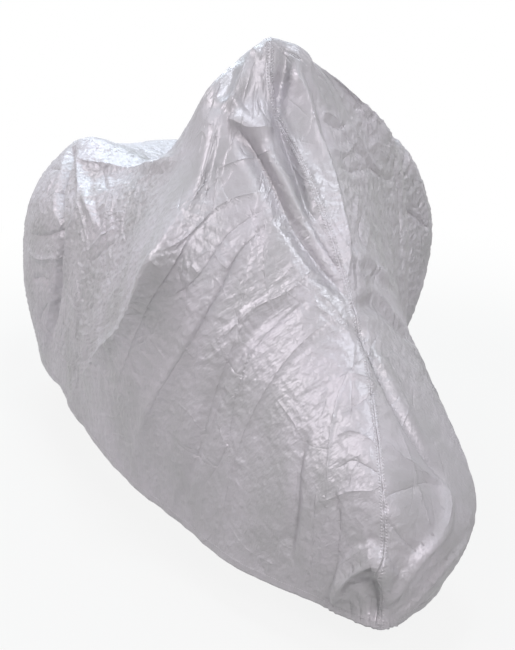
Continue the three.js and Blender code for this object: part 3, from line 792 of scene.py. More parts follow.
def sewn_sheet(grids):
    """Both coarse grids as one mesh. The left panel uses the right panel's points on the seam.
    Returns the points, the quads, and each panel's grid of point numbers."""
    right, left = grids["right"], grids["left"]
    shape = right.shape[:2]
    own = np.zeros(shape, bool)
    own[1:-1, 1:] = True
    numbers = {"right": np.arange(own.size).reshape(shape)}
    numbers["left"] = numbers["right"].copy()
    numbers["left"][own] = own.size + np.arange(own.sum())
    points = np.concatenate([right.reshape(-1, 3), left[own]])
    quads = np.concatenate([grid_quads(numbers[side], outward) for side, outward in SIDES.items()])
    return points, quads, numbers


print("quads to simulate", 2 * (CELLS_AROUND // SETTLE_STEP) * (CELLS_DOWN // SETTLE_STEP))

# %% Cloth simulation
SETTLE_FRAMES = 20


def vertex_group(thing, name, weights):
    """A vertex group from one weight for each point, in steps of 1%."""
    group = thing.vertex_groups.new(name=name)
    steps = np.round(weights * 100).astype(int)
    for step in np.unique(steps):
        group.add(np.flatnonzero(steps == step).tolist(), step / 100, "REPLACE")


def settled(points, quads, extra, pin):
    """The points after the simulation. The pin group holds points, and the taut group says where
    the springs keep their length. Elsewhere they grow by up to MOST_EXTRA."""
    mesh = bpy.data.meshes.new("settling")
    mesh.from_pydata(points, [], quads.tolist())
    sheet = bpy.data.objects.new("settling", mesh)
    bpy.context.collection.objects.link(sheet)
    vertex_group(sheet, "pin", pin)
    vertex_group(sheet, "taut", 1 - extra / MOST_EXTRA)
    cloth = sheet.modifiers.new("cloth", "CLOTH")
    cloth.collision_settings.use_collision = False
    cloth.point_cache.frame_end = SETTLE_FRAMES
    # The stiffnesses were picked from a few trials, and the mass is a guess.
    cloth.settings.quality = 4
    cloth.settings.mass = 0.15
    cloth.settings.tension_stiffness = cloth.settings.compression_stiffness = 15
    cloth.settings.shear_stiffness = 5
    cloth.settings.bending_stiffness = 0.15
    cloth.settings.vertex_group_mass = "pin"
    cloth.settings.vertex_group_shrink = "taut"
    cloth.settings.shrink_min = -MOST_EXTRA
    cloth.settings.shrink_max = 0
    cloth.settings.effector_weights.gravity = 0.3
    for number in range(1, SETTLE_FRAMES + 1):
        bpy.context.scene.frame_set(number)
    moved = sheet.evaluated_get(bpy.context.evaluated_depsgraph_get()).data
    result = np.empty(len(points) * 3, np.float32)
    moved.vertices.foreach_get("co", result)
    bpy.context.scene.frame_set(1)
    bpy.data.objects.remove(sheet)
    return result.reshape(-1, 3).astype(float)


print("frames to simulate", SETTLE_FRAMES)

# %% Settling both panels
HELD_BY_FOLDS, HELD_BY_SEAM, HELD_BY_HEM = 0.6, 0.55, 0.6
FREE_AT_HEM, HEM_FADE = 0.25, 80 * MM


def finer(values, step):
    """A coarse grid of vectors brought to the fine grid, linear between its lines."""
    for axis, lines in ((0, CELLS_AROUND), (1, CELLS_DOWN)):
        at = np.arange(lines + 1) / step
        low = np.minimum(at.astype(int), lines // step - 1)
        share = np.expand_dims(at - low, tuple({0, 1, 2} - {axis}))
        values = np.take(values, low, axis) * (1 - share) + np.take(values, low + 1, axis) * share
    return values


def settle(start):
    """How far each fine grid point moves when the cloth settles, less towards the hem and in the
    smooth places."""
    coarse = {side: start[side][::SETTLE_STEP, ::SETTLE_STEP] for side in SIDES}
    points, quads, numbers = sewn_sheet(coarse)
    pin = blended(points, PIN)
    for side in SIDES:
        own, near_fold = numbers[side], closeness_to_folds[side][::SETTLE_STEP, ::SETTLE_STEP]
        pin[own] = np.maximum(pin[own], HELD_BY_FOLDS * near_fold)
        pin[own[:, -1]] = HELD_BY_HEM
    seam = np.concatenate([numbers["right"][:, 0], numbers["right"][0], numbers["right"][-1]])
    pin[seam] = HELD_BY_SEAM
    moved = settled(points, quads, blended(points, EXTRA), pin) - points
    print("settling moved points by, mm", (np.linalg.norm(moved, axis=1).mean() / MM).round(2))
    result = {}
    for side in SIDES:
        down_rib = steps_along(start[side], 1)
        off_hem = smoothstep(down_rib[:, -1:] - down_rib, 0, HEM_FADE)
        free = slack_share[side] * (FREE_AT_HEM + (1 - FREE_AT_HEM) * off_hem)
        result[side] = finer(moved[numbers[side]], SETTLE_STEP) * free[..., None]
    return result


print("share of the movement left at the hem", FREE_AT_HEM)

# %% [markdown]
# ## Seam and hem
#
# The centre seam is lapped and sewn twice, so it stands a little proud, and the thread draws the
# cloth into puckers that run square to it. Distance from the seam and distance along it are
# worked out for every grid point, and the puckers are noise along the seam that dies away from
# it. The hem is turned up and sewn once. Elastic gathers it at the front and the rear wheel, and
# it hangs a little slack between them.

# %% Distances from the seam
def seam_distances(side):
    """For each grid point: its distance from the seam, and how far along the seam it lies, from
    the front hem over the top to the rear hem."""
    down_rib, around_rib = steps_along(folded[side], 1), steps_along(folded[side], 0)
    front_length, top_length = down_rib[0, -1], around_rib[-1, 0]
    away = np.stack([around_rib, down_rib, around_rib[-1:] - around_rib])
    along = np.stack(np.broadcast_arrays(front_length - down_rib[:1], front_length + around_rib[:, :1],
                                         front_length + top_length + down_rib[-1:]))
    choice = away.argmin(0)[None]
    return np.take_along_axis(away, choice, 0)[0], np.take_along_axis(along, choice, 0)[0]


seam_away, seam_along = {}, {}
for side in SIDES:
    seam_away[side], seam_along[side] = seam_distances(side)
    print(side, "seam length, m", seam_along[side].max().round(3))

# %% Heights beside the seam and the hem
SEAM_RISE, SEAM_HALF_WIDTH = 1.3 * MM, 8 * MM
HEM_RISE, HEM_WIDTH = 1.0 * MM, 20 * MM
PUCKER_RISE, GATHER_RISE, SLACK_RISE = 0.5 * MM, 3.2 * MM, 0.6 * MM
ELASTIC_ENDS = {"right": (0.75, 9.2), "left": (0.4, 9.2)}   # ribs where front ends, rear starts
REAR_GATHERED = 9.7                                         # rib behind which all is gathered


def line_noise(along, size, count, seed):
    """Noise along a line: a sum of cosines of random wavelength around size."""
    random = np.random.default_rng(seed)
    wavelengths = size * random.uniform(0.6, 1.6, count)
    phases = random.uniform(0, 2 * np.pi, count)
    return np.cos(along[..., None] * 2 * np.pi / wavelengths + phases).sum(-1) * np.sqrt(2 / count)


def seam_and_hem(side):
    """Height in metres of the lapped seam, its puckers, the turned hem, its gathers and its slack.
    The seam and the hem are steps. The rest are rise x noise along x near(distance), and the
    gathers lie only where there is elastic."""
    away, along = seam_away[side], seam_along[side]
    rise = SEAM_RISE * (1 - smoothstep(away, 0.8 * SEAM_HALF_WIDTH, 1.5 * SEAM_HALF_WIDTH))
    pucker = PUCKER_RISE * line_noise(along, size=0.028, count=16, seed=21) * near(away, 0.022)
    down_rib = steps_along(folded[side], 1)
    above_hem = down_rib[:, -1:] - down_rib
    hem = HEM_RISE * (1 - smoothstep(above_hem, 0.85 * HEM_WIDTH, 1.1 * HEM_WIDTH))
    hem_way = steps_along(folded[side], 0)[:, -1:]
    ribs = rib_lines[:, None]
    front_end, rear_start = ELASTIC_ENDS[side]
    gathered = 1 - smoothstep(ribs, front_end * 0.7, front_end * 1.3)
    gathered = gathered + smoothstep(ribs, rear_start, REAR_GATHERED)
    gather = GATHER_RISE * line_noise(hem_way, size=0.017, count=10, seed=22) * gathered
    gather = gather * near(above_hem, 0.03) * smoothstep(away, 0, 0.02)
    slack = SLACK_RISE * line_noise(hem_way, size=0.11, count=8, seed=23) * near(above_hem, 0.04)
    slack = slack * smoothstep(away, 0, 0.05)
    return rise + pucker + hem + gather + slack


details = {side: seam_and_hem(side) for side in SIDES}
print("seam and hem reach, mm", {side: float((details[side].max() / MM).round(1)) for side in SIDES})

# %% [markdown]
# ## The finished panels
#
# All heights are added along the normals of the folded cloth, and the settling on top. What
# differs from panel to panel fades out at the seam, so the two edges still meet. A Solidify
# modifier could thicken the sheet, but it would spend half of the cells on the inside, which
# nobody sees. So the inside is a grid of its own from every third line, and a strip of
# six-sided faces closes the sheet along its edges.

# %% Outer faces
DENT_SHARE = 0.7
SEAM_FADE = 30 * MM     # what differs from panel to panel fades out this near the seam

heights = {}
for side in SIDES:
    own_side = smoothstep(seam_away[side], 0, SEAM_FADE)
    crumpled = own_side * (short_creases[side] + crinkles[side]) + DENT_SHARE * dents[side]
    heights[side] = hand_creases[side] + details[side] + slack_share[side] * crumpled
finished = raised(folded, folded_normals, heights)
movement = settle(raised(folded, folded_normals, hand_creases))
finished = {side: finished[side] + movement[side] for side in SIDES}
finished_normals = shared_normals(finished)
print("heights over the folded cloth, mm", {side: (np.ptp(heights[side]) / MM).round(1) for side in SIDES})

# %% Inner faces
CLOTH_THICKNESS = 1.2 * MM
INNER_STEP = 3


def inner_face(outer, normals):
    """Every third line of the outer face, moved inwards by the cloth's thickness and by as much more
    as the outer face dips below straight lines between those points nearby."""
    coarse = outer[::INNER_STEP, ::INNER_STEP]
    dip = ((finer(coarse, INNER_STEP) - outer) * normals).sum(-1)
    rows, columns = coarse.shape[0] - 1, coarse.shape[1] - 1
    blocks = dip[:-1, :-1].reshape(rows, INNER_STEP, columns, INNER_STEP)
    padded = np.pad(blocks.max(axis=(1, 3)), 1, mode="edge")
    around_point = [padded[:-1, :-1], padded[1:, :-1], padded[:-1, 1:], padded[1:, 1:]]
    depth = CLOTH_THICKNESS + np.maximum(np.max(around_point, axis=0), 0)
    return coarse - normals[::INNER_STEP, ::INNER_STEP] * depth[..., None]


inner = {side: inner_face(finished[side], finished_normals[side]) for side in SIDES}
print("inner points", {side: inner[side][..., 0].size for side in SIDES})

# %% Closed sheet
def edge_loop(numbers):
    """Point numbers once round the edge of a grid."""
    return np.concatenate([numbers[:-1, 0], numbers[-1, :-1], numbers[:0:-1, -1], numbers[0, :0:-1]])


def closed_sheet(name, outer, inner, outward, uv_layers):
    """A mesh from an outer grid, an inner grid and the strip between their edges. Outer faces are
    smooth and the strip is flat. uv_layers are (u, v) for every point of the outer grid."""
    outside = np.arange(outer[..., 0].size).reshape(outer.shape[:2])
    inside = outside.size + np.arange(inner[..., 0].size).reshape(inner.shape[:2])
    quads = np.concatenate([grid_quads(outside, outward), grid_quads(inside, -outward)])
    long_way, short_way = edge_loop(outside).reshape(-1, INNER_STEP), edge_loop(inside)[:, None]
    strip = np.concatenate([np.roll(long_way[:, :1], -1, 0), long_way[:, ::-1], short_way,
                            np.roll(short_way, -1, 0)], axis=1)[:, ::outward]
    mesh = bpy.data.meshes.new(name)
    points = np.concatenate([outer.reshape(-1, 3), inner.reshape(-1, 3)])
    mesh.from_pydata(points, [], quads.tolist() + strip.tolist())
    smooth_faces = np.ones(len(quads) + len(strip), bool)
    smooth_faces[len(quads):] = False
    mesh.polygons.foreach_set("use_smooth", smooth_faces)
    corners = np.concatenate([quads.ravel(), strip.ravel()])
    for layer, (u, v) in uv_layers.items():
        uv = np.stack([u, v], axis=-1)
        uv = np.concatenate([uv.reshape(-1, 2), uv[::INNER_STEP, ::INNER_STEP].reshape(-1, 2)])[corners]
        mesh.uv_layers.new(name=layer).data.foreach_set("uv", uv.astype(np.float32).ravel())
    mesh.update()
    return mesh


print("six-sided faces in each strip", len(edge_loop(inner["right"][..., 0])))

# %% Panels
# The material reads four numbers from each point: the distance from the nearest crisp crease and
# its height there, how crumpled the cloth is, and how slack. There are two UV maps, in metres. One
# lays the panel out about flat. The other runs along the seam, and the stitches' relief reads it.
def point_attribute(mesh, name, values):
    """One number for each point. Inner points take the number of the outer point they come from."""
    values = np.concatenate([values.ravel(), values[::INNER_STEP, ::INNER_STEP].ravel()])
    layer = mesh.attributes.new(name, "FLOAT", "POINT")
    layer.data.foreach_set("value", values.astype(np.float32))


def nearer_lines(first, second):
    """Of two sets of crease lines, the distance and the height of the nearer one at each point."""
    return np.where(np.abs(first[1]) <= np.abs(second[1]), first[1:], second[1:])


panels = {}
for side, outward in SIDES.items():
    way = steps_along(folded[side], 0).mean(1)[:, None]
    layers = {"cloth": (np.broadcast_to(way, seam_away[side].shape), steps_along(folded[side], 1)),
              "seam": (seam_along[side], seam_away[side])}
    mesh = closed_sheet(f"cover_panel_{side}", finished[side], inner[side], outward, layers)
    gap, depth = nearer_lines(hand_lines[side], short_lines[side])
    point_attribute(mesh, "crease_gap", gap)
    point_attribute(mesh, "crease_depth", depth)
    point_attribute(mesh, "crumple", extra_cloth[side] / MOST_EXTRA * slack_share[side])
    point_attribute(mesh, "slack", slack_share[side])
    panel = bpy.data.objects.new(f"cover_panel_{side}", mesh)
    bpy.context.collection.objects.link(panel)
    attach(panel, "root")
    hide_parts(f"panel_{side}")
    panels[side] = panel
    print(panel.name, "triangles", sum(len(face.vertices) - 2 for face in mesh.polygons))

# %% [markdown]
# ## Stitches
#
# The seam has two rows of stitches and the hem one. One stitch is a short rounded strand that
# rises out of the cloth and dips back in. It could be copied with an array modifier along a
# curve, but numpy can place all of them at once: each stitch takes its place, direction and
# normal from the finished cloth.

# %% Stitches on the cloth
STITCH_PITCH, STITCH_LENGTH, STITCH_RADIUS = 7 * MM, 4.8 * MM, 0.8 * MM
STITCH_RINGS, STITCH_SIDES = 5, 6


def evenly(points, normals, way, pitch):
    """Places on a line of points wherever the way along it is a whole number of pitches, with the
    unit normal and the direction there. The row starts two pitches in and stops before the last."""
    at = np.arange(2, way[-1] / pitch - 1) * pitch
    def sampled(values):
        return np.stack([np.interp(at, way, values[:, axis]) for axis in range(3)], axis=-1)
    places, upright = sampled(points), unit(sampled(normals))
    heading = unit(np.gradient(places, axis=0))
    return places, upright, heading


def stitches(places, upright, heading):
    """Strands on the cloth. At share t along a strand its radius is r (0.45 + 0.55 sin(pi t)), and
    its middle is r (1.2 sin(pi t) - 0.5) above the cloth, where r is STITCH_RADIUS. Returns the
    vertices and the faces of all of them."""
    rings, sides = STITCH_RINGS, STITCH_SIDES
    t = np.linspace(0, 1, rings)
    angle = np.arange(sides) * 2 * np.pi / sides
    radius = STITCH_RADIUS * (0.45 + 0.55 * np.sin(np.pi * t))
    across = np.cross(upright, heading)
    forward = (t - 0.5) * STITCH_LENGTH
    lift = STITCH_RADIUS * (1.2 * np.sin(np.pi * t) - 0.5)
    sideways = radius[:, None] * np.cos(angle)
    up = lift[:, None] + radius[:, None] * np.sin(angle)
    vertices = (places[:, None, None] + heading[:, None, None] * forward[None, :, None, None]
                + across[:, None, None] * sideways[None, ..., None]
                + upright[:, None, None] * up[None, ..., None])
    ring = np.arange(sides)
    quads = [(r * sides + ring, r * sides + (ring + 1) % sides, (r + 1) * sides + (ring + 1) % sides,
              (r + 1) * sides + ring) for r in range(rings - 1)]
    quads = np.concatenate([np.stack(q, axis=-1) for q in quads])
    caps = np.stack([ring[::-1], (rings - 1) * sides + ring])
    starts = np.arange(len(places))[:, None, None] * rings * sides
    faces = (starts + quads).reshape(-1, 4).tolist() + (starts + caps).reshape(-1, sides).tolist()
    return vertices.reshape(-1, 3), faces


def stitch_piece(name, rows):
    """One mesh from several rows of stitches."""
    all_vertices, all_faces, first = [], [], 0
    for row in rows:
        vertices, faces = stitches(*row)
        all_vertices.append(vertices)
        all_faces += [[first + corner for corner in face] for face in faces]
        first += len(vertices)
    mesh = bpy.data.meshes.new(name)
    mesh.from_pydata(np.concatenate(all_vertices), [], all_faces)
    mesh.polygons.foreach_set("use_smooth", np.ones(len(all_faces), bool))
    mesh.update()
    piece = bpy.data.objects.new(name, mesh)
    bpy.context.collection.objects.link(piece)
    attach(piece, "root")
    return piece


print("faces of one stitch", (STITCH_RINGS - 1) * STITCH_SIDES + 2)

# %% Lines that the stitches follow
ROW_OFFSET = 5.5 * MM       # from the seam
HEM_ROW = 0.9 * HEM_WIDTH   # above the hem's edge
NEAR_EDGE = 20              # grid lines that are sure to reach past the row offset


def line_beside_seam(side):
    """The cloth's points and normals one row offset away from the seam, and how far along the seam
    they are, from the front hem to the rear hem."""
    points, normals = finished[side], finished_normals[side]
    def at_offset(line_points, line_normals, distance):
        pick = [np.interp(ROW_OFFSET, distance, line_points[:, axis]) for axis in range(3)]
        return pick, [np.interp(ROW_OFFSET, distance, line_normals[:, axis]) for axis in range(3)]
    way_around, way_down = steps_along(points, 0), steps_along(points, 1)
    corner = int(np.searchsorted(way_down[0], ROW_OFFSET))
    edge = slice(NEAR_EDGE)
    front = [at_offset(points[edge, j], normals[edge, j], way_around[edge, j])
             for j in range(CELLS_DOWN, corner, -1)]
    first = int(np.searchsorted(way_around[:, 0], ROW_OFFSET))
    last = int(np.searchsorted(way_around[:, 0], way_around[-1, 0] - ROW_OFFSET))
    top = [at_offset(points[i, edge], normals[i, edge], way_down[i, edge]) for i in range(first, last)]
    edge = slice(None, -NEAR_EDGE, -1)
    rear = [at_offset(points[edge, j], normals[edge, j], way_around[-1, j] - way_around[edge, j])
            for j in range(corner, CELLS_DOWN + 1)]
    line = np.array(front + top + rear)
    along = seam_along[side]
    way = np.concatenate([along[0, CELLS_DOWN:corner:-1], along[first:last, 0], along[-1, corner:]])
    return line[:, 0], line[:, 1], way


def line_above_hem(side):
    """The cloth's points and normals HEM_ROW above the hem's edge, and the way along."""
    points, normals = finished[side], finished_normals[side]
    way = steps_along(points, 1)
    above = (way[:, -1:] - way)[:, ::-1]
    def picked(values):
        return np.array([[np.interp(HEM_ROW, above[i], values[i, ::-1, axis]) for axis in range(3)]
                         for i in range(CELLS_AROUND + 1)])
    line = picked(points)
    return line, unit(picked(normals)), steps_along(line, 0)


seam_rows = [evenly(*line_beside_seam(side), STITCH_PITCH) for side in SIDES]
hem_rows = [evenly(*line_above_hem(side), STITCH_PITCH) for side in SIDES]
seam_stitches, hem_stitches = stitch_piece("seam_stitches", seam_rows), stitch_piece("hem_stitches", hem_rows)
print("stitch faces", len(seam_stitches.data.polygons), len(hem_stitches.data.polygons))

# %% [markdown]
# ## Silver cloth
#
# The coating is aluminium powder in a clear binder on woven polyester. It is duller than metal
# and brighter than dyed cloth. A fully metallic shader would show the surroundings like foil, and
# a plain one would look like paper, so this one is about a quarter metallic with a broad gloss.
# Colour and gloss vary a little in blotches, and crumpled cloth is painted paler, a painted sheen
# for the glints of crumpled foil. Crinkles that are too small for the mesh, the crests of creases,
# the puckers beside the stitches and the weave are bump. The bump works in millimetres.

# %% Shader helpers
def new_material(name):
    """A material with one Principled shader and its output."""
    material = bpy.data.materials.new(name)
    material.use_nodes = True
    nodes = material.node_tree.nodes
    nodes.clear()
    output = nodes.new("ShaderNodeOutputMaterial")
    shader = nodes.new("ShaderNodeBsdfPrincipled")
    material.node_tree.links.new(shader.outputs["BSDF"], output.inputs["Surface"])
    return material, shader


def add(material, kind, settings=(), **inputs):
    """Adds a node. settings are its own properties. An input is a value or another node's output,
    and _0 is its first input, for nodes that name several inputs alike."""
    node = material.node_tree.nodes.new(kind)
    for key, value in dict(settings).items():
        setattr(node, key, value)
    for key, value in inputs.items():
        socket = node.inputs[int(key[1:])] if key[0] == "_" else node.inputs[key.replace("_", " ")]
        if isinstance(value, bpy.types.NodeSocket):
            material.node_tree.links.new(value, socket)
        else:
            socket.default_value = value
    return node


def link(material, output, node, name):
    """Joins an output to a node's input."""
    material.node_tree.links.new(output, node.inputs[name])


def math(material, operation, *values):
    """Output of a maths node whose inputs are values or other nodes' outputs."""
    inputs = {f"_{k}": value for k, value in enumerate(values)}
    return add(material, "ShaderNodeMath", {"operation": operation}, **inputs).outputs[0]


print("shader helpers: new_material, add, link, math")

# %% Patterns
def attribute(material, name):
    """Output that reads one of the mesh's own numbers."""
    return add(material, "ShaderNodeAttribute", {"attribute_name": name}).outputs["Fac"]


def noise(material, place, scale, detail=2.0, stretch=1, axis=(0, 0, 1)):
    """Noise of about 0 to 1, drawn out along an axis by a stretch of 1 or more. It is read at the
    place minus (1 - 1 / stretch) of the place's part along the axis."""
    if stretch > 1:
        along = add(material, "ShaderNodeVectorMath", {"operation": "PROJECT"}, _0=place, _1=axis)
        place = add(material, "ShaderNodeVectorMath", {"operation": "MULTIPLY_ADD"}, _0=along.outputs[0],
                    _1=(1 / stretch - 1,) * 3, _2=place).outputs[0]
    return add(material, "ShaderNodeTexNoise", Vector=place, Scale=scale, Detail=detail).outputs["Fac"]


def cells(material, place, scale):
    """Distance from the nearest of many random points, in places bent by noise of 0.9 / scale. As a
    height it looks like facets."""
    bend = add(material, "ShaderNodeTexNoise", Vector=place, Scale=scale * 0.7, Detail=2.0).outputs["Color"]
    bent = add(material, "ShaderNodeVectorMath", {"operation": "MULTIPLY_ADD"}, _0=bend,
               _1=(0.9 / scale,) * 3, _2=place)
    return add(material, "ShaderNodeTexVoronoi", Vector=bent.outputs[0], Scale=scale).outputs["Distance"]


print("patterns: attribute, noise, cells")

# %% Relief of the cloth
SMALL_FACET, LARGE_FACET = (105.0, 2.4), (42.0, 6.0)            # facets to the metre, height in mm
UPRIGHT_HEIGHT, SLANTING_HEIGHT, WEAVE_HEIGHT = 6.5, 9.0, 0.22  # mm
CREASE_WIDTH, CREASE_WAVER = 2.4, 3.0                           # mm


def crease_lines(material, place):
    """Height in mm of thin creases: depth x exp(-|distance| / width), wavering with noise."""
    waver = noise(material, place, scale=70.0)
    waver = math(material, "MULTIPLY_ADD", waver, CREASE_WAVER, -CREASE_WAVER / 2)
    distance = math(material, "ABSOLUTE", math(material, "ADD", attribute(material, "crease_gap"), waver))
    profile = math(material, "EXPONENT", math(material, "DIVIDE", distance, -CREASE_WIDTH))
    return math(material, "MULTIPLY", attribute(material, "crease_depth"), profile)


def crinkle_relief(material, place):
    """Height in mm of the crinkles: (facets + upright streaks) x crumple, and slanting streaks x
    patches x slack, each as high as its constant."""
    (small, small_height), (large, large_height) = SMALL_FACET, LARGE_FACET
    facets = math(material, "MULTIPLY_ADD", cells(material, place, small), small_height,
                  math(material, "MULTIPLY", cells(material, place, large), large_height))
    streaks = noise(material, place, scale=120.0, detail=3.0, stretch=5, axis=(0.1, 0.1, 1))
    crumpled = math(material, "MULTIPLY_ADD", streaks, UPRIGHT_HEIGHT, facets)
    crumpled = math(material, "MULTIPLY", crumpled, attribute(material, "crumple"))
    slanting = noise(material, place, scale=100.0, stretch=6, axis=(0.3, 0.75, 0.6))
    slanting = math(material, "MULTIPLY", slanting, SLANTING_HEIGHT)
    patches = [noise(material, place, scale=scale) for scale in (9.0, 30.0)]
    patches = math(material, "MULTIPLY", *patches)
    patches = math(material, "MULTIPLY", patches, attribute(material, "slack"))
    return math(material, "MULTIPLY_ADD", slanting, patches, crumpled)


print("facets across, mm", [round(1000 / scale) for scale, _ in (SMALL_FACET, LARGE_FACET)])

# %% Relief beside the seam
BEAD_HEIGHT, BEAD_WIDTH = 0.6, 2.0 * MM
PUCKER_HEIGHT, PUCKER_REACH = 1.4, 18 * MM


def stitch_relief(material):
    """Height in mm beside the seam: cos(2 pi along / pitch) x exp(-(distance / width)^2) makes a
    bead for each stitch, and noise x exp(-away / reach) makes puckers square to the seam."""
    split = add(material, "ShaderNodeSeparateXYZ",
                Vector=add(material, "ShaderNodeUVMap", {"uv_map": "seam"}).outputs["UV"])
    along, away = split.outputs["X"], split.outputs["Y"]
    beads = math(material, "COSINE", math(material, "MULTIPLY", along, 2 * np.pi / STITCH_PITCH))
    from_row = math(material, "SUBTRACT", away, ROW_OFFSET)
    squared = math(material, "POWER", math(material, "DIVIDE", from_row, BEAD_WIDTH), 2.0)
    row = math(material, "EXPONENT", math(material, "MULTIPLY", squared, -1.0))
    flat = add(material, "ShaderNodeCombineXYZ", X=along, Y=away).outputs[0]
    puckers = noise(material, flat, scale=110.0, detail=1.0, stretch=5, axis=(0, 1, 0))
    fading = math(material, "EXPONENT", math(material, "DIVIDE", away, -PUCKER_REACH))
    pucker_height = math(material, "MULTIPLY", math(material, "MULTIPLY", puckers, fading), PUCKER_HEIGHT)
    return math(material, "MULTIPLY_ADD", math(material, "MULTIPLY", beads, row), BEAD_HEIGHT, pucker_height)


print("bead for each stitch, mm", BEAD_HEIGHT)

# %% Silver cloth and thread
# Painted sheen: crumpled cloth is painted paler in its base colour, for the glints of crumpled foil.
CRUMPLE_PAINTED_SHEEN = 0.32       # fully crumpled cloth is paler by this share


def silver_cloth():
    """Satin silver: blotches pick the colour and the gloss, and the relief is one bump node."""
    material, shader = new_material("silver_cloth")
    shader.inputs["Metallic"].default_value = 0.24
    shader.inputs["IOR"].default_value = 1.5
    shader.inputs["Specular IOR Level"].default_value = 0.5
    place = add(material, "ShaderNodeTexCoord").outputs["Object"]

    blotches = add(material, "ShaderNodeTexNoise", Vector=place, Scale=7.0, Detail=5.0, Roughness=0.6)
    tint = add(material, "ShaderNodeValToRGB", _0=blotches.outputs["Fac"])
    tint.color_ramp.elements[0].position = 0.35
    tint.color_ramp.elements[0].color = (0.44, 0.425, 0.44, 1)
    tint.color_ramp.elements[1].position = 0.68
    tint.color_ramp.elements[1].color = (0.54, 0.51, 0.545, 1)
    # Painted sheen: the base colour is made paler where the cloth is crumpled.
    paler = math(material, "MULTIPLY_ADD", attribute(material, "crumple"), CRUMPLE_PAINTED_SHEEN, 1.0)
    colour = add(material, "ShaderNodeVectorMath", {"operation": "SCALE"}, _0=tint.outputs["Color"],
                 Scale=paler)
    link(material, colour.outputs["Vector"], shader, "Base Color")

    gloss = add(material, "ShaderNodeMapRange", Value=blotches.outputs["Fac"])
    gloss.inputs["From Min"].default_value = 0.35
    gloss.inputs["From Max"].default_value = 0.65
    gloss.inputs["To Min"].default_value = 0.39
    gloss.inputs["To Max"].default_value = 0.50
    link(material, gloss.outputs["Result"], shader, "Roughness")

    relief = math(material, "MULTIPLY", noise(material, place, scale=600.0), WEAVE_HEIGHT)
    for part in (crease_lines(material, place), crinkle_relief(material, place), stitch_relief(material)):
        relief = math(material, "ADD", relief, part)
    bump = add(material, "ShaderNodeBump", Height=relief, Strength=1.0, Distance=MM)
    link(material, bump.outputs["Normal"], shader, "Normal")
    return material


def thread_material():
    """Polyester thread, a little paler than the cloth and not metallic."""
    material, shader = new_material("silver_thread")
    shader.inputs["Base Color"].default_value = (0.62, 0.6, 0.62, 1)
    shader.inputs["Roughness"].default_value = 0.5
    return material


cloth_material = silver_cloth()
for panel in panels.values():
    panel.data.materials.append(cloth_material)
thread = thread_material()
for piece in (seam_stitches, hem_stitches):
    piece.data.materials.append(thread)
print("materials", cloth_material.name, thread.name)

# %% [markdown]
# ## Floor, surroundings and lamps
#
# The cover hangs over a pale floor at the level of the tyres, a hand's width below its hem. The
# surroundings are white where the camera and reflections see them, and much dimmer as a source of
# light, because light from all sides would hide the folds. Five soft lamps do the shaping: a wide
# cool one behind lights the luggage's top, one ahead and one overhead light the ledge and the
# roll under the peak, one on the left of the camera rakes over the creases, and a weak one on its
# right opens the shadows.

# %% Floor and surroundings
FLOOR_LEVEL = -ORIGIN[2] * MM
FLOOR_HALF = 30.0
AMBIENT = (0.055, 0.065, 0.05)          # colour of the world as a source of light
FLOOR_WHITE = 0.88                      # share of white that direct rays see under the cover
WHITER_BETWEEN = (1.0, 2.1)             # metres from the origin over which that share rises to 1


def seen_directly(material):
    """Output that is 1 for camera, glossy and transmission rays and 0 for the rest."""
    path = add(material, "ShaderNodeLightPath").outputs
    either = math(material, "MAXIMUM", path["Is Camera Ray"], path["Is Glossy Ray"])
    return math(material, "MAXIMUM", either, path["Is Transmission Ray"])


world = bpy.data.worlds.new("studio")
bpy.context.scene.world = world
world.use_nodes = True
background = world.node_tree.nodes["Background"]
seen_as = add(world, "ShaderNodeMix", {"data_type": "RGBA"}, Factor=seen_directly(world))
seen_as.inputs["A"].default_value = (*AMBIENT, 1)
seen_as.inputs["B"].default_value = (1, 1, 1, 1)
world.node_tree.links.new(seen_as.outputs["Result"], background.inputs["Color"])


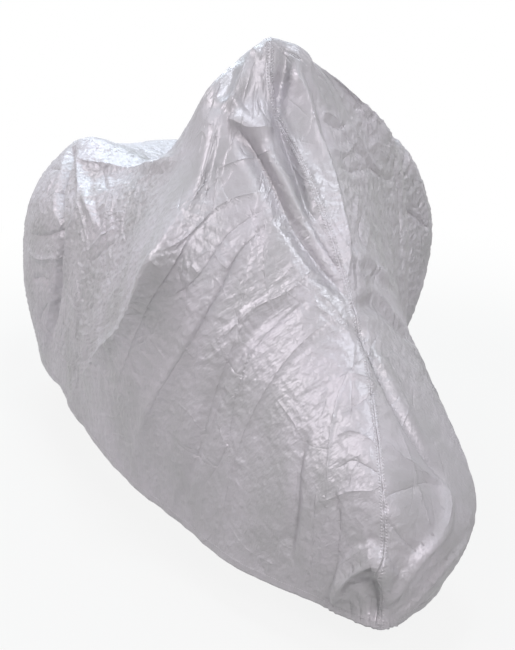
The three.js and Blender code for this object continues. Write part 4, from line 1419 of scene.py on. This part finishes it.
def floor_material():
    """Grey paint. Direct rays see it mostly white, more so with distance, and it keeps a shadow."""
    material, shader = new_material("floor_paint")
    shader.inputs["Base Color"].default_value = (0.45, 0.46, 0.44, 1)
    shader.inputs["Roughness"].default_value = 0.9
    place = add(material, "ShaderNodeTexCoord").outputs["Object"]
    distance = add(material, "ShaderNodeVectorMath", {"operation": "LENGTH"}, _0=place).outputs["Value"]
    whiter = add(material, "ShaderNodeMapRange", {"interpolation_type": "SMOOTHSTEP"}, Value=distance)
    whiter.inputs["From Min"].default_value, whiter.inputs["From Max"].default_value = WHITER_BETWEEN
    whiter.inputs["To Min"].default_value = FLOOR_WHITE
    white = add(material, "ShaderNodeEmission").outputs["Emission"]
    share = math(material, "MULTIPLY", whiter.outputs["Result"], seen_directly(material))
    mix = add(material, "ShaderNodeMixShader", _0=share, _1=shader.outputs["BSDF"], _2=white)
    link(material, mix.outputs[0], material.node_tree.nodes["Material Output"], "Surface")
    return material


floor_mesh = bpy.data.meshes.new("floor")
corners = [(x * FLOOR_HALF, y * FLOOR_HALF, FLOOR_LEVEL) for x, y in ((-1, -1), (1, -1), (1, 1), (-1, 1))]
floor_mesh.from_pydata(corners, [], [(0, 1, 2, 3)])
floor_mesh.materials.append(floor_material())
floor = bpy.data.objects.new("floor", floor_mesh)
bpy.context.collection.objects.link(floor)
floor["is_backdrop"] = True
print("floor at", FLOOR_LEVEL)

# %% Lamps
LAMP_DISTANCE = 4.5

# name, angle round from straight ahead and angle above level in degrees, size in metres, watts, colour
LAMPS = [
    ("back", -176, 42, 3.0, 128, (0.76, 0.90, 1.0)),
    ("front", 2, 24, 1.1, 70, (1.0, 0.955, 1.0)),
    ("overhead", 10, 74, 1.1, 82, (0.86, 0.93, 1.0)),
    ("left", -96, 28, 1.1, 74, (1.0, 0.95, 1.0)),
    ("right", 100, 30, 1.1, 16, (1.0, 0.96, 0.99)),
]


def lamp(name, turn, rise, size, watts, colour):
    """A round soft lamp at two angles from the middle of the cover."""
    data = bpy.data.lights.new(name, "AREA")
    data.shape = "DISK"
    data.size = size
    data.energy = watts
    data.color = colour
    thing = bpy.data.objects.new(name, data)
    bpy.context.collection.objects.link(thing)
    aimed(thing, middle + LAMP_DISTANCE * direction(turn, rise), middle)


for row in LAMPS:
    lamp(*row)
print("lamps", [row[0] for row in LAMPS])

bpy.context.scene.view_settings.view_transform = "Standard"
